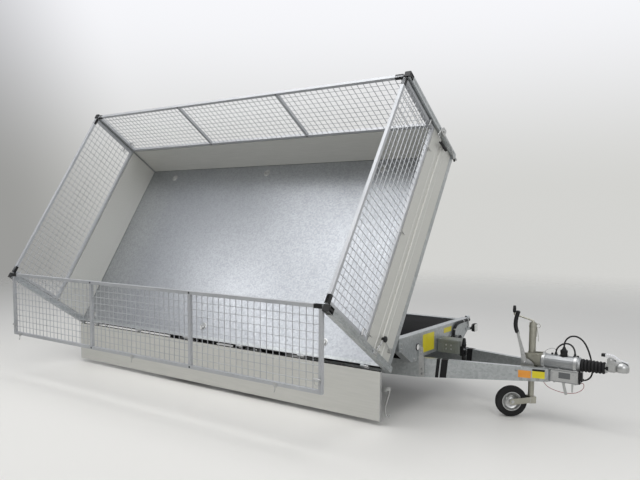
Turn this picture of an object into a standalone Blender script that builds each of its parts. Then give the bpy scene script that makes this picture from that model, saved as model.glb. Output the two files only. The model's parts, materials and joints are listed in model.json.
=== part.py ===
"""Three-way dump trailer with a mesh cage, parked with its bed tipped to the right.

Metres, +Z up. +X points forward to the coupling, +Y to the trailer's left, and the floor is at Z = 0.
The pieces are drawn with the bed flat and every panel closed, X = 0 at the bed's rear inner edge and
Y = 0 on the centreline. Empties and hinge origins then tip the bed and let the right panels hang.
"""
import math

import bmesh
import bpy
from mathutils import Matrix, Vector

# Bed: inner floor, boards and cage
BED_LENGTH = 3.30
BED_WIDTH = 1.74
SIDE_HEIGHT = 0.345
CAGE_HEIGHT = 0.895
BOARD_THICK = 0.025
FLOOR_THICK = 0.015
PLANK_COUNT = 3
PLANK_GROOVE = 0.0035
POST_SIZE = 0.044
MESH_TUBE = 0.025
MESH_WIRE = 0.006
WIRE_PITCH = 0.135
PANEL_GAP = 0.007
SEAT = 0.0003
EDGE_DEPTH = 0.045
EDGE_WIDTH = 0.050
CROSS_DEPTH = 0.060
CROSS_WIDTH = 0.050

# Hinges of the drop sides: pin line outside the board and below the floor
HINGE_OUT = 0.010
HINGE_DROP = 0.012
KNUCKLE_RADIUS = 0.009
KNUCKLE_LENGTH = 0.030
BOARD_LIFT = 0.003

# Tipping: pivot line under each long edge
TIP_ANGLE = math.radians(56.7)
PIVOT_INSET = 0.2055
PIVOT_HEIGHT = 0.556
FLOOR_RISE = 0.075
BALL_RADIUS = 0.022
CUP_RADIUS = 0.0229
CUP_RIM = 0.014

# Chassis
BEAM_WIDTH = 0.060
BEAM_RISE = 0.007
BEAM_DEPTH = 0.100
BALL_REACH = 0.0295
REAR_BEAM_X = 0.070
FRONT_BEAM_X = 3.270
RAIL_WIDTH = 0.060
RAIL_CLEARANCE = 0.015
PLATE_HALF = 0.260
PLATE_RAISE = 0.003
DRAWBAR_TOP = 0.379
DRAWBAR_DEPTH = 0.145
DRAWBAR_NOSE_DEPTH = 0.089
DRAWBAR_THICK = 0.040
DRAWBAR_REAR_X = 2.360
DRAWBAR_FRONT_X = 4.160
DRAWBAR_FRONT_HALF = 0.1076
DRAWBAR_INSET = 0.0126
STRAP_THICK = 0.012
CHEEK_DROP = 0.017
CHEEK_REACH = 0.102
PUMP_LENGTH = 0.180
PUMP_DROP = 0.090
LAMP_ARM = 0.022
LAMP_REACH = 0.105

# Running gear
TYRE_RADIUS = 0.245
TYRE_WIDTH = 0.150
RIM_RADIUS = 0.128
WHEEL_REACH = 0.0455
WHEEL_REAR_X = 1.280
WHEEL_SPACING = 0.750
ARM_LENGTH = 0.145
AXLE_TUBE = 0.070
AXLE_HEIGHT = 0.340
STUB_RADIUS = 0.020
BORE_RADIUS = 0.0206
WHEEL_SIDES = 24

# Telescopic ram under the middle of the bed
RAM_X = 1.655
TRUNNION_HEIGHT = 0.400
EYE_DROP = 0.100
EYE_RADIUS = 0.028
EYE_HALF = 0.026
RAM_WALL = 0.009
ROD_RADIUS = 0.024
RAM_GAP = 0.0006
RAM_MOUTH = 0.030
STAGE_LENGTH = 0.285
STAGE_STEP = 0.012
STAGE_COUNT = 3

# Coupling, overrun housing and jockey wheel
HOUSING_REAR_X = 4.075
HOUSING_FRONT_X = 4.345
HOUSING_AXIS_Z = 0.414
HOUSING_RADIUS = 0.052
HOUSING_BASE_TOP = 0.374
HOUSING_LIP = 0.001
BELLOWS_LENGTH = 0.154
BELLOWS_RADIUS = 0.046
HEAD_BALL_X = 4.597
HEAD_RADIUS = 0.043
BALL_SEAT_RADIUS = 0.0255
MAST_X = 4.018
MAST_TOP = 0.674
MAST_RADIUS = 0.024
MAST_BORE = 0.0212
TUBE_RADIUS = 0.0205
JOCKEY_RADIUS = 0.110
JOCKEY_WIDTH = 0.050
JOCKEY_TRAIL = 0.140
JOCKEY_SWIVEL = math.radians(38.0)
FORK_TOP = 0.148
CABLE_RADIUS = 0.0055
ROPE_RADIUS = 0.0020

# Values that follow from the ones above
FLOOR_Z = PIVOT_HEIGHT + FLOOR_RISE
HALF_WIDTH = BED_WIDTH / 2
PIVOT_Y = HALF_WIDTH - PIVOT_INSET
OUTER_Y = HALF_WIDTH + BOARD_THICK
SIDES = (("right", -1), ("left", 1))
MESH_BOTTOM = SIDE_HEIGHT + PANEL_GAP
TUBE_LINE = CAGE_HEIGHT - MESH_TUBE / 2
WALL_LINE = HALF_WIDTH + BOARD_THICK / 2
HINGE_Y = OUTER_Y + HINGE_OUT
HINGE_Z = FLOOR_Z - HINGE_DROP
WHEELS_X = (WHEEL_REAR_X, WHEEL_REAR_X + WHEEL_SPACING)
BEAM_TOP = PIVOT_HEIGHT + BEAM_RISE
BEAM_LOW = BEAM_TOP - BEAM_DEPTH
BEAM_HALF = PIVOT_Y - BALL_REACH
TRACK = 2 * (PIVOT_Y + WHEEL_REACH) - TYRE_WIDTH
TYRE_INNER_Y = TRACK / 2 - TYRE_WIDTH / 2
RAIL_OUTER = TYRE_INNER_Y - RAIL_CLEARANCE
DRAWBAR_SLOPE = (RAIL_OUTER - DRAWBAR_INSET - DRAWBAR_FRONT_HALF) / (DRAWBAR_FRONT_X - DRAWBAR_REAR_X)
DEEP_CROSS_X = (REAR_BEAM_X, RAM_X - 0.060, RAM_X + 0.060, FRONT_BEAM_X)
LIGHT_CROSS_X = (0.47, 0.87, 1.27, 2.04, 2.45, 2.86)
HINGES_X = (0.18, 0.78, 1.38, 1.98, 2.58, 3.12)
HINGES_Y = (-0.66, -0.22, 0.22, 0.66)

# Colours: base colour, roughness, metallic
GALVANISED = ("galvanised", (0.62, 0.64, 0.66), 0.38, 0.85)
SHEET = ("galvanised_sheet", (0.70, 0.72, 0.74), 0.25, 0.95)
ALUMINIUM = ("aluminium", (0.72, 0.73, 0.72), 0.35, 0.7)
MESH_STEEL = ("mesh_steel", (0.68, 0.70, 0.72), 0.4, 0.8)
RUBBER = ("rubber", (0.02, 0.02, 0.02), 0.8, 0.0)
PLASTIC = ("black_plastic", (0.02, 0.02, 0.022), 0.5, 0.0)
CHROME = ("ram_chrome", (0.75, 0.76, 0.78), 0.12, 1.0)
ZINC = ("zinc_casting", (0.60, 0.60, 0.58), 0.4, 0.8)
PASSIVATED = ("passivated_zinc", (0.50, 0.48, 0.38), 0.4, 0.7)
BOX_GREY = ("box_grey", (0.34, 0.36, 0.33), 0.5, 0.1)
LAMP_RED = ("lamp_red", (0.45, 0.02, 0.02), 0.2, 0.0)
LAMP_CLEAR = ("lamp_clear", (0.80, 0.80, 0.78), 0.2, 0.0)


def clear_scene():
    """Removes every object that the file opened with."""
    for item in list(bpy.data.objects):
        bpy.data.objects.remove(item, do_unlink=True)


def material(spec):
    """The Principled material of one colour entry, made once."""
    name, colour, roughness, metallic = spec
    found = bpy.data.materials.get(name)
    if found:
        return found
    made = bpy.data.materials.new(name)
    made.use_nodes = True
    shader = made.node_tree.nodes["Principled BSDF"]
    shader.inputs["Base Color"].default_value = (*colour, 1.0)
    shader.inputs["Roughness"].default_value = roughness
    shader.inputs["Metallic"].default_value = metallic
    return made


def empty(name, point, parent=None, turn=(0.0, 0.0, 0.0)):
    """An empty at a point of the flat trailer; the point is kept for the pieces that hang from it."""
    made = bpy.data.objects.new(name, None)
    bpy.context.collection.objects.link(made)
    base = Vector((0.0, 0.0, 0.0))
    if parent:
        made.parent = parent
        base = Vector(parent["flat_point"])
    made.location = Vector(point) - base
    made.rotation_euler = turn
    made["flat_point"] = list(point)
    return made


def node(name, shape, spec, parent, origin=None, turn=(0.0, 0.0, 0.0)):
    """One named piece: its mesh is shifted so that its origin lies at the given flat point."""
    base = Vector(parent["flat_point"])
    point = Vector(origin) if origin else base
    shape.transform(Matrix.Translation(-point))
    shape.name = name
    shape.materials.clear()
    shape.materials.append(material(spec))
    shape.shade_smooth()
    shape.set_sharp_from_angle(angle=math.radians(35))
    made = bpy.data.objects.new(name, shape)
    bpy.context.collection.objects.link(made)
    made.parent = parent
    made.location = point - base
    made.rotation_euler = turn
    made["flat_point"] = list(point)
    return made


def finish_mesh(bm):
    """Turns a bmesh into a mesh with its faces pointing out."""
    bmesh.ops.recalc_face_normals(bm, faces=bm.faces)
    mesh = bpy.data.meshes.new("shape")
    bm.to_mesh(mesh)
    bm.free()
    return mesh


def prism(axis, outline, low, high):
    """Extrudes an outline. Across X its points are (y, z), across Y (x, z), across Z (x, y)."""
    bm = bmesh.new()

    def spot(point, level):
        a, b = point
        return {"X": (level, a, b), "Y": (a, level, b), "Z": (a, b, level)}[axis]

    bottom = [bm.verts.new(spot(p, low)) for p in outline]
    top = [bm.verts.new(spot(p, high)) for p in outline]
    bm.faces.new(bottom)
    bm.faces.new(top)
    for i in range(len(outline)):
        j = (i + 1) % len(outline)
        bm.faces.new((bottom[i], bottom[j], top[j], top[i]))
    return finish_mesh(bm)


def block(x, y, z):
    """A box from three (low, high) pairs."""
    corners = ((y[0], z[0]), (y[1], z[0]), (y[1], z[1]), (y[0], z[1]))
    return prism("X", corners, x[0], x[1])


def loft(stations):
    """A beam with upright rectangular sections; each station is (x, y_low, y_high, z_low, z_high)."""
    bm = bmesh.new()
    rings = []
    for x, y0, y1, z0, z1 in stations:
        rings.append([bm.verts.new((x, y, z)) for y, z in ((y0, z0), (y1, z0), (y1, z1), (y0, z1))])
    bm.faces.new(rings[0])
    bm.faces.new(rings[-1])
    for ring, following in zip(rings, rings[1:]):
        for i in range(4):
            j = (i + 1) % 4
            bm.faces.new((ring[i], ring[j], following[j], following[i]))
    return finish_mesh(bm)


def turned(profile, centre, axis, segments=24, ring=False, phase=0.0):
    """Turns (along, radius) points about an axis through centre; ring closes the profile on itself.

    phase turns the facets by that share of one facet: half of one puts a flat at the bottom."""
    bm = bmesh.new()
    frames = {"X": ((1, 0, 0), (0, 1, 0), (0, 0, 1)), "Y": ((0, 1, 0), (0, 0, 1), (1, 0, 0)),
              "Z": ((0, 0, 1), (1, 0, 0), (0, 1, 0))}
    along, first, second = (Vector(v) for v in frames[axis])
    rows = []
    for distance, radius in profile:
        base = Vector(centre) + along * distance
        if radius < 1e-7:
            rows.append([bm.verts.new(base)])
            continue
        row = []
        for k in range(segments):
            angle = 2 * math.pi * (k + phase) / segments
            row.append(bm.verts.new(base + (first * math.cos(angle) + second * math.sin(angle)) * radius))
        rows.append(row)
    pairs = list(zip(rows, rows[1:]))
    if ring:
        pairs.append((rows[-1], rows[0]))
    for one, two in pairs:
        for k in range(segments):
            n = (k + 1) % segments
            corners = [one[k % len(one)], one[n % len(one)], two[n % len(two)], two[k % len(two)]]
            unique = list(dict.fromkeys(corners))
            bm.faces.new(unique)
    if not ring:
        for row in (rows[0], rows[-1]):
            if len(row) > 1:
                bm.faces.new(row)
    return finish_mesh(bm)


def rod(axis, centre, low, high, radius, segments=16):
    """A plain round bar along an axis, from low to high on that axis."""
    return turned(((low, radius), (high, radius)), centre, axis, segments)


def pipe(points, radii, segments=10):
    """A tube with closed ends along a smooth list of points, one radius for each point."""
    bm = bmesh.new()
    spots = [Vector(p) for p in points]
    rows = []
    side = None
    for i, spot in enumerate(spots):
        ahead = spots[min(i + 1, len(spots) - 1)]
        behind = spots[max(i - 1, 0)]
        heading = (ahead - behind).normalized()
        if side is None:
            side = heading.orthogonal().normalized()
        side = (side - heading * side.dot(heading)).normalized()
        other = heading.cross(side)
        row = []
        for k in range(segments):
            angle = 2 * math.pi * k / segments
            row.append(bm.verts.new(spot + (side * math.cos(angle) + other * math.sin(angle)) * radii[i]))
        rows.append(row)
    for one, two in zip(rows, rows[1:]):
        for k in range(segments):
            n = (k + 1) % segments
            bm.faces.new((one[k], one[n], two[n], two[k]))
    bm.faces.new(rows[0])
    bm.faces.new(rows[-1])
    return finish_mesh(bm)


def smooth_path(points, steps):
    """Catmull-Rom points through a short list of chosen points."""
    spots = [Vector(p) for p in points]
    spots = [spots[0] * 2 - spots[1]] + spots + [spots[-1] * 2 - spots[-2]]
    path = []
    for i in range(1, len(spots) - 2):
        a, b, c, d = spots[i - 1:i + 3]
        for k in range(steps):
            t = k / steps
            path.append(0.5 * (2 * b + (c - a) * t + (2 * a - 5 * b + 4 * c - d) * t * t
                               + (3 * b - a - 3 * c + d) * t ** 3))
    path.append(spots[-2])
    return path


def combine(shapes, operation="UNION"):
    """Joins shapes into one body, or cuts the later ones from the first."""
    result = shapes[0]
    for other in shapes[1:]:
        base = bpy.data.objects.new("base", result)
        tool = bpy.data.objects.new("tool", other)
        bpy.context.collection.objects.link(base)
        bpy.context.collection.objects.link(tool)
        change = base.modifiers.new("combine", "BOOLEAN")
        change.operation = operation
        change.solver = "EXACT"
        change.object = tool
        graph = bpy.context.evaluated_depsgraph_get()
        result = bpy.data.meshes.new_from_object(base.evaluated_get(graph))
        bpy.data.objects.remove(base)
        bpy.data.objects.remove(tool)
    return result


def cut(base, tools):
    """The base shape with every tool cut away."""
    return combine([base] + list(tools), "DIFFERENCE")


def arc(centre, radius, start, end, count):
    """Points on an arc in degrees, both ends included."""
    points = []
    for k in range(count):
        angle = math.radians(start + (end - start) * k / (count - 1))
        points.append((centre[0] + radius * math.cos(angle), centre[1] + radius * math.sin(angle)))
    return points


# Bed

def edge_outline(side, stagger=0.0):
    """L-shaped edge rail in (y, z): a lip beside the floor and a flange under it."""
    top = FLOOR_Z - 0.0005 - stagger
    under = FLOOR_Z - FLOOR_THICK - 0.0007 - stagger
    low = FLOOR_Z - EDGE_DEPTH - 0.0007 - stagger
    lip = HALF_WIDTH + 0.001
    inner = OUTER_Y - EDGE_WIDTH
    points = ((OUTER_Y, low), (inner, low), (inner, under), (lip, under), (lip, top), (OUTER_Y, top))
    return [(side * y, z) for y, z in points]


def board_outline(height):
    """Section of a board as (out, up): smooth inside, with a V groove outside where two planks meet."""
    points = [(0.0, 0.0), (0.0, height), (BOARD_THICK, height)]
    for number in range(PLANK_COUNT - 1, 0, -1):
        level = height * number / PLANK_COUNT
        points += [(BOARD_THICK, level + PLANK_GROOVE), (BOARD_THICK - PLANK_GROOVE, level),
                   (BOARD_THICK, level - PLANK_GROOVE)]
    points.append((BOARD_THICK, 0.0))
    return points


def rail_knuckle(side, at, length):
    """The edge rail's half of a drop side hinge."""
    start = (OUTER_Y - 0.002, HINGE_Z - KNUCKLE_RADIUS)
    finish = (OUTER_Y - 0.002, HINGE_Z + KNUCKLE_RADIUS)
    outline = [start] + arc((HINGE_Y, HINGE_Z), KNUCKLE_RADIUS, -90, 90, 5) + [finish]
    return prism("X", [(side * y, z) for y, z in outline], at, at + length)


def board_knuckle(side, at, length):
    """The drop side's half of a hinge, with its leaf up the board's outer face."""
    face = OUTER_Y - 0.001
    outline = [(face, FLOOR_Z + BOARD_LIFT + 0.002), (face, FLOOR_Z + 0.050), (face + 0.008, FLOOR_Z + 0.050)]
    outline += arc((HINGE_Y, HINGE_Z), KNUCKLE_RADIUS, 30, -180, 8)
    outline.append((HINGE_Y - KNUCKLE_RADIUS, FLOOR_Z + BOARD_LIFT))
    return prism("X", [(side * y, z) for y, z in outline], at, at + length)


def make_cup(side, x):
    """Socket block under the bed for one chassis ball, and the round hollow to cut in it."""
    half = 0.028
    y = sorted((side * (PIVOT_Y - half), side * (PIVOT_Y + half)))
    cup = block((x - half, x + half), y, (PIVOT_HEIGHT + CUP_RIM, FLOOR_Z - 0.040))
    centre = (0.0, side * PIVOT_Y, PIVOT_HEIGHT)
    return cup, rod("X", centre, x - half - 0.001, x + half + 0.001, CUP_RADIUS, 24)


def make_bed_frame(parent):
    """Edge rails, cross members, long members, ball cups and the ram's bracket in one weldment."""
    parts = []
    hollows = []
    for _, side in SIDES:
        parts.append(prism("X", edge_outline(side), -BOARD_THICK, BED_LENGTH + BOARD_THICK))
    for end, x0, x1 in ((-1, -BOARD_THICK, 0.025), (1, BED_LENGTH - 0.025, BED_LENGTH + BOARD_THICK)):
        low = FLOOR_Z - EDGE_DEPTH
        lip = (-BOARD_THICK, -0.001) if end < 0 else (BED_LENGTH + 0.001, BED_LENGTH + BOARD_THICK)
        parts.append(block((x0, x1), (-HALF_WIDTH, HALF_WIDTH), (low, FLOOR_Z - FLOOR_THICK - 0.0012)))
        parts.append(block(lip, (-HALF_WIDTH + 0.0005, HALF_WIDTH - 0.0005), (low + 0.002, FLOOR_Z - 0.0009)))
    for places, depth in ((DEEP_CROSS_X, CROSS_DEPTH), (LIGHT_CROSS_X, EDGE_DEPTH - 0.002)):
        for x in places:
            parts.append(block((x - CROSS_WIDTH / 2, x + CROSS_WIDTH / 2),
                               (-HALF_WIDTH + 0.01, HALF_WIDTH - 0.01),
                               (FLOOR_Z - depth, FLOOR_Z - FLOOR_THICK - 0.0017)))
    for y in (-0.20, 0.20):
        parts.append(block((0.010, BED_LENGTH - 0.010), (y - 0.025, y + 0.025),
                           (FLOOR_Z - CROSS_DEPTH + 0.002, FLOOR_Z - FLOOR_THICK - 0.0022)))
    for _, side in SIDES:
        for x in (REAR_BEAM_X, FRONT_BEAM_X):
            cup, hollow = make_cup(side, x)
            parts.append(cup)
            hollows.append(hollow)
        for x0, x1 in ((-POST_SIZE - 0.001, -0.001), (BED_LENGTH + 0.001, BED_LENGTH + POST_SIZE + 0.001)):
            y = sorted((side * (HALF_WIDTH + 0.0015), side * (HALF_WIDTH + POST_SIZE + 0.0005)))
            parts.append(block((x0, x1), y, (FLOOR_Z - EDGE_DEPTH + 0.003, FLOOR_Z - SEAT)))
        for x in HINGES_X:
            parts.append(rail_knuckle(side, x, KNUCKLE_LENGTH))
    for y in HINGES_Y:
        knuckle = rail_knuckle(1, y, KNUCKLE_LENGTH)
        knuckle.transform(Matrix.Rotation(math.radians(90), 4, "Z"))
        knuckle.transform(Matrix.Translation((HALF_WIDTH, 0, 0)))
        parts.append(knuckle)
    cheek = EYE_HALF + 0.0005
    parts.append(block((RAM_X - 0.070, RAM_X + 0.070), (-0.045, 0.045), (FLOOR_Z - 0.066, FLOOR_Z - 0.045)))
    for x0, x1 in ((RAM_X - cheek - 0.008, RAM_X - cheek), (RAM_X + cheek, RAM_X + cheek + 0.008)):
        outline = [(-0.035, FLOOR_Z - 0.055), (-0.035, FLOOR_Z - EYE_DROP)]
        outline += arc((0.0, FLOOR_Z - EYE_DROP), 0.032, 200, 340, 7)
        outline += [(0.035, FLOOR_Z - EYE_DROP), (0.035, FLOOR_Z - 0.055)]
        parts.append(prism("X", outline, x0, x1))
    node("bed_frame", cut(combine(parts), hollows), GALVANISED, parent)


def make_bed_floor(parent):
    """The flat load floor inside the edge lips."""
    inset = 0.0007
    floor = block((-inset, BED_LENGTH + inset), (-HALF_WIDTH - inset, HALF_WIDTH + inset),
                  (FLOOR_Z - FLOOR_THICK, FLOOR_Z))
    node("bed_floor", floor, SHEET, parent)


def make_posts(parent):
    """Corner posts from the floor's level to the cage's top."""
    for end, x0 in (("rear", -POST_SIZE - 0.001), ("front", BED_LENGTH + 0.001)):
        for name, side in SIDES:
            y = sorted((side * (HALF_WIDTH + 0.0005), side * (HALF_WIDTH + POST_SIZE + 0.0005)))
            post = block((x0, x0 + POST_SIZE), y, (FLOOR_Z, FLOOR_Z + CAGE_HEIGHT))
            node(f"post_{end}_{name}", post, GALVANISED, parent)


def make_front_board(parent):
    """The fixed front board with its stiffening rib outside."""
    half = HALF_WIDTH + 0.0002
    outline = [(BED_LENGTH + max(out, 0.001), FLOOR_Z - 0.0006 + up)
               for out, up in board_outline(SIDE_HEIGHT)]
    board = prism("Y", outline, -half, half)
    rib = block((BED_LENGTH + 0.010, BED_LENGTH + BOARD_THICK + 0.010), (-half + 0.02, half - 0.02),
                (FLOOR_Z + 0.150, FLOOR_Z + 0.185))
    node("front_board", combine([board, rib]), ALUMINIUM, parent)


def make_drop_sides(parent, rest_turn):
    """Bottom-hinged boards: both long sides and the rear."""
    section = board_outline(SIDE_HEIGHT - BOARD_LIFT)
    for name, side in SIDES:
        outline = [(side * (HALF_WIDTH + max(out, 0.0002)), FLOOR_Z + BOARD_LIFT + up) for out, up in section]
        shapes = [prism("X", outline, 0.006, BED_LENGTH - 0.006)]
        for x in HINGES_X:
            shapes.append(board_knuckle(side, x + KNUCKLE_LENGTH + 0.0004, KNUCKLE_LENGTH))
        axis_point = (0.0, side * HINGE_Y, HINGE_Z)
        turn = (rest_turn if side < 0 else 0.0, 0.0, 0.0)
        node(f"drop_side_{name}", combine(shapes), ALUMINIUM, parent, axis_point, turn)
    half = HALF_WIDTH - 0.006
    outline = [(-max(out, 0.0002), FLOOR_Z + BOARD_LIFT + up) for out, up in section]
    shapes = [prism("Y", outline, -half, half)]
    for y in HINGES_Y:
        knuckle = board_knuckle(1, y + KNUCKLE_LENGTH + 0.0004, KNUCKLE_LENGTH)
        knuckle.transform(Matrix.Rotation(math.radians(90), 4, "Z"))
        knuckle.transform(Matrix.Translation((HALF_WIDTH, 0, 0)))
        shapes.append(knuckle)
    axis_point = (-BOARD_THICK - HINGE_OUT, 0.0, HINGE_Z)
    node("drop_side_rear", combine(shapes), ALUMINIUM, parent, axis_point)


def grid_plate(columns, rows, thick):
    """A plate in the XZ plane, thick across Y, solid where its column or its row is a bar.

    columns and rows are lists of (low, high, is_bar) that follow each other."""
    bm = bmesh.new()
    xs = [columns[0][0]] + [c[1] for c in columns]
    zs = [rows[0][0]] + [r[1] for r in rows]
    corners = {}

    def corner(i, j, y):
        key = (i, j, y)
        if key not in corners:
            corners[key] = bm.verts.new((xs[i], y, zs[j]))
        return corners[key]

    def solid(i, j):
        inside = 0 <= i < len(columns) and 0 <= j < len(rows)
        return inside and (columns[i][2] or rows[j][2])

    back, front = thick / 2, -thick / 2
    for i in range(len(columns)):
        for j in range(len(rows)):
            if not solid(i, j):
                continue
            for y in (back, front):
                bm.faces.new((corner(i, j, y), corner(i + 1, j, y),
                              corner(i + 1, j + 1, y), corner(i, j + 1, y)))
            for di, dj, a, b in ((-1, 0, (0, 0), (0, 1)), (1, 0, (1, 0), (1, 1)),
                                 (0, -1, (0, 0), (1, 0)), (0, 1, (0, 1), (1, 1))):
                if solid(i + di, j + dj):
                    continue
                bm.faces.new((corner(i + a[0], j + a[1], back), corner(i + b[0], j + b[1], back),
                              corner(i + b[0], j + b[1], front), corner(i + a[0], j + a[1], front)))
    return finish_mesh(bm)


def spans(low, high, bars, width):
    """Splits low to high into gaps and bars of one width centred on the given places."""
    result = []
    at = low
    for centre in bars:
        if centre - width / 2 > at:
            result.append((at, centre - width / 2, False))
        result.append((centre - width / 2, centre + width / 2, True))
        at = centre + width / 2
    if high > at:
        result.append((at, high, False))
    return result


def mesh_panel(length, bays):
    """Tube frame with a coarse welded mesh, from x = 0 to length and z from the mesh bottom to the top."""
    low, high = MESH_BOTTOM, CAGE_HEIGHT
    half = MESH_TUBE / 2
    bay = (length - MESH_TUBE) / bays
    uprights = [half + bay * k for k in range(bays + 1)]
    columns = spans(0.0, length, uprights, MESH_TUBE)
    frame = grid_plate(columns, spans(low, high, (low + half, high - half), MESH_TUBE), MESH_TUBE)
    across = []
    count = max(1, round(bay / WIRE_PITCH))
    for k in range(bays):
        across += [uprights[k] + bay * (n + 1) / count for n in range(count - 1)]
    levels = max(1, round((high - low) / WIRE_PITCH))
    up = [low + (high - low) * (n + 1) / levels for n in range(levels - 1)]
    reach = MESH_TUBE - 0.006
    wires = grid_plate(spans(reach, length - reach, across, MESH_WIRE),
                       spans(low + reach, high - reach, up, MESH_WIRE), MESH_WIRE)
    return combine([frame, wires])


def pin_stubs(length, gap):
    """Pins out of both ends of a panel's top tube, to 0.3 mm from the posts."""
    level = TUBE_LINE
    return [rod("X", (0, 0, level), -gap + SEAT, 0.005, 0.006, 8),
            rod("X", (0, 0, level), length - 0.005, length + gap - SEAT, 0.006, 8)]


def make_mesh_panels(parent, rest_turn):
    """Cage panels: both long ones, front and rear, each hung by its top tube."""
    gap = 0.007
    length = BED_LENGTH - 0.012
    for name, side in SIDES:
        panel = combine([mesh_panel(length, 3)] + pin_stubs(length, gap))
        panel.transform(Matrix.Translation((0.006, side * WALL_LINE, FLOOR_Z)))
        axis_point = (0.0, side * WALL_LINE, FLOOR_Z + TUBE_LINE)
        turn = (rest_turn if side < 0 else 0.0, 0.0, 0.0)
        node(f"mesh_side_{name}", panel, MESH_STEEL, parent, axis_point, turn)
    width = BED_WIDTH - 0.013
    for name, x in (("rear", -BOARD_THICK / 2), ("front", BED_LENGTH + BOARD_THICK / 2)):
        panel = combine([mesh_panel(width, 1)] + pin_stubs(width, gap))
        panel.transform(Matrix.Translation((-width / 2, 0.0, 0.0)))
        panel.transform(Matrix.Rotation(math.radians(90), 4, "Z"))
        panel.transform(Matrix.Translation((x, 0.0, FLOOR_Z)))
        node(f"mesh_{name}", panel, MESH_STEEL, parent, (x, 0.0, FLOOR_Z + TUBE_LINE))


# Chassis

def ball_on_beam(side, x):
    """A tipping ball on its short stub out of a beam's end."""
    steps = 6
    profile = [(0.0, 0.0)]
    for k in range(1, steps):
        angle = math.pi * k / steps
        profile.append((BALL_RADIUS * (1 - math.cos(angle)), BALL_RADIUS * math.sin(angle)))
    profile.append((2 * BALL_RADIUS, 0.0))
    ball = turned(profile, (x, side * PIVOT_Y - BALL_RADIUS, PIVOT_HEIGHT), "Y", 16)
    ends = sorted((side * (BEAM_HALF - 0.01), side * PIVOT_Y))
    stub = rod("Y", (x, 0.0, PIVOT_HEIGHT - 0.006), ends[0], ends[1], 0.011, 12)
    return [stub, ball]


def drawbar_strap(side, face):
    """Flat strap from the front beam's face down the outer side of a drawbar rail."""
    rear, front = face - 0.005, face + 0.016
    near = [(x, side * (drawbar_half(x) + SEAT)) for x in (rear, front)]
    far = [(x, side * (drawbar_half(x) + STRAP_THICK)) for x in (front, rear)]
    return prism("Z", near + far, DRAWBAR_TOP - 0.094, DRAWBAR_TOP + 0.091)


def make_beams(parent):
    """Front and rear beams across the chassis, with the balls that the bed sits on."""
    low = BEAM_LOW
    rear = [(-BEAM_HALF, BEAM_TOP), (-BEAM_HALF, low), (BEAM_HALF, low), (BEAM_HALF, BEAM_TOP)]
    seat_edge = drawbar_half(FRONT_BEAM_X) + DRAWBAR_THICK / 2
    cheek = DRAWBAR_TOP - CHEEK_DROP
    right = [(-BEAM_HALF, BEAM_TOP), (-BEAM_HALF, low + 0.010), (-BEAM_HALF + 0.035, low),
             (-seat_edge - CHEEK_REACH, cheek), (-seat_edge, cheek), (-seat_edge, DRAWBAR_TOP + SEAT)]
    front = right + [(-y, z) for y, z in reversed(right)]
    for name, outline, x in (("rear_beam", rear, REAR_BEAM_X), ("front_beam", front, FRONT_BEAM_X)):
        shapes = [prism("X", outline, x - BEAM_WIDTH / 2, x + BEAM_WIDTH / 2)]
        for _, side in SIDES:
            shapes += ball_on_beam(side, x)
            if name == "front_beam":
                shapes.append(drawbar_strap(side, x + BEAM_WIDTH / 2))
        node(name, combine(shapes), GALVANISED, parent)


def drawbar_half(x):
    """Distance from the centreline to the drawbar rail's outer face at x."""
    return DRAWBAR_FRONT_HALF + DRAWBAR_SLOPE * (DRAWBAR_FRONT_X - x)


def make_rails(parent):
    """Side rails between the beams and the V of drawbar rails below them."""
    rear = REAR_BEAM_X + BEAM_WIDTH / 2 + SEAT
    front = FRONT_BEAM_X - BEAM_WIDTH / 2 - SEAT
    low = BEAM_LOW
    shoe = DRAWBAR_REAR_X + 0.02
    outline = [(rear, BEAM_TOP), (rear, low), (shoe - 0.06, low), (shoe, DRAWBAR_TOP + SEAT),
               (shoe + 0.32, DRAWBAR_TOP + SEAT), (shoe + 0.42, low), (front, low), (front, BEAM_TOP)]
    taper_x = 3.30
    stations = ((DRAWBAR_REAR_X, DRAWBAR_DEPTH), (taper_x, DRAWBAR_DEPTH),
                (DRAWBAR_FRONT_X, DRAWBAR_NOSE_DEPTH))
    for name, side in SIDES:
        y = sorted((side * (RAIL_OUTER - RAIL_WIDTH), side * RAIL_OUTER))
        node(f"side_rail_{name}", prism("Y", outline, y[0], y[1]), GALVANISED, parent)
        rows = []
        for x, depth in stations:
            y = sorted((side * (drawbar_half(x) - DRAWBAR_THICK), side * drawbar_half(x)))
            rows.append((x, y[0], y[1], DRAWBAR_TOP - depth, DRAWBAR_TOP))
        node(f"drawbar_rail_{name}", loft(rows), GALVANISED, parent)


def make_ram_cradle(parent):
    """Two cross members with the trunnion bores, tied by short plates."""
    inner = RAIL_OUTER - RAIL_WIDTH - SEAT
    shapes = []
    z = (TRUNNION_HEIGHT - 0.045, BEAM_LOW + 0.030)
    for side in (-1, 1):
        x = sorted((RAM_X + side * 0.075, RAM_X + side * 0.115))
        shapes.append(block(x, (-inner, inner), z))
    for y in (-inner * 0.42, inner * 0.42):
        shapes.append(block((RAM_X - 0.080, RAM_X + 0.080), (y - 0.006, y + 0.006),
                            (z[0] + 0.010, z[1] - 0.010)))
    bore = rod("X", (0, 0, TRUNNION_HEIGHT), RAM_X - 0.105, RAM_X + 0.105, 0.0166, 16)
    node("ram_cradle", cut(combine(shapes), [bore]), GALVANISED, parent)


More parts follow.
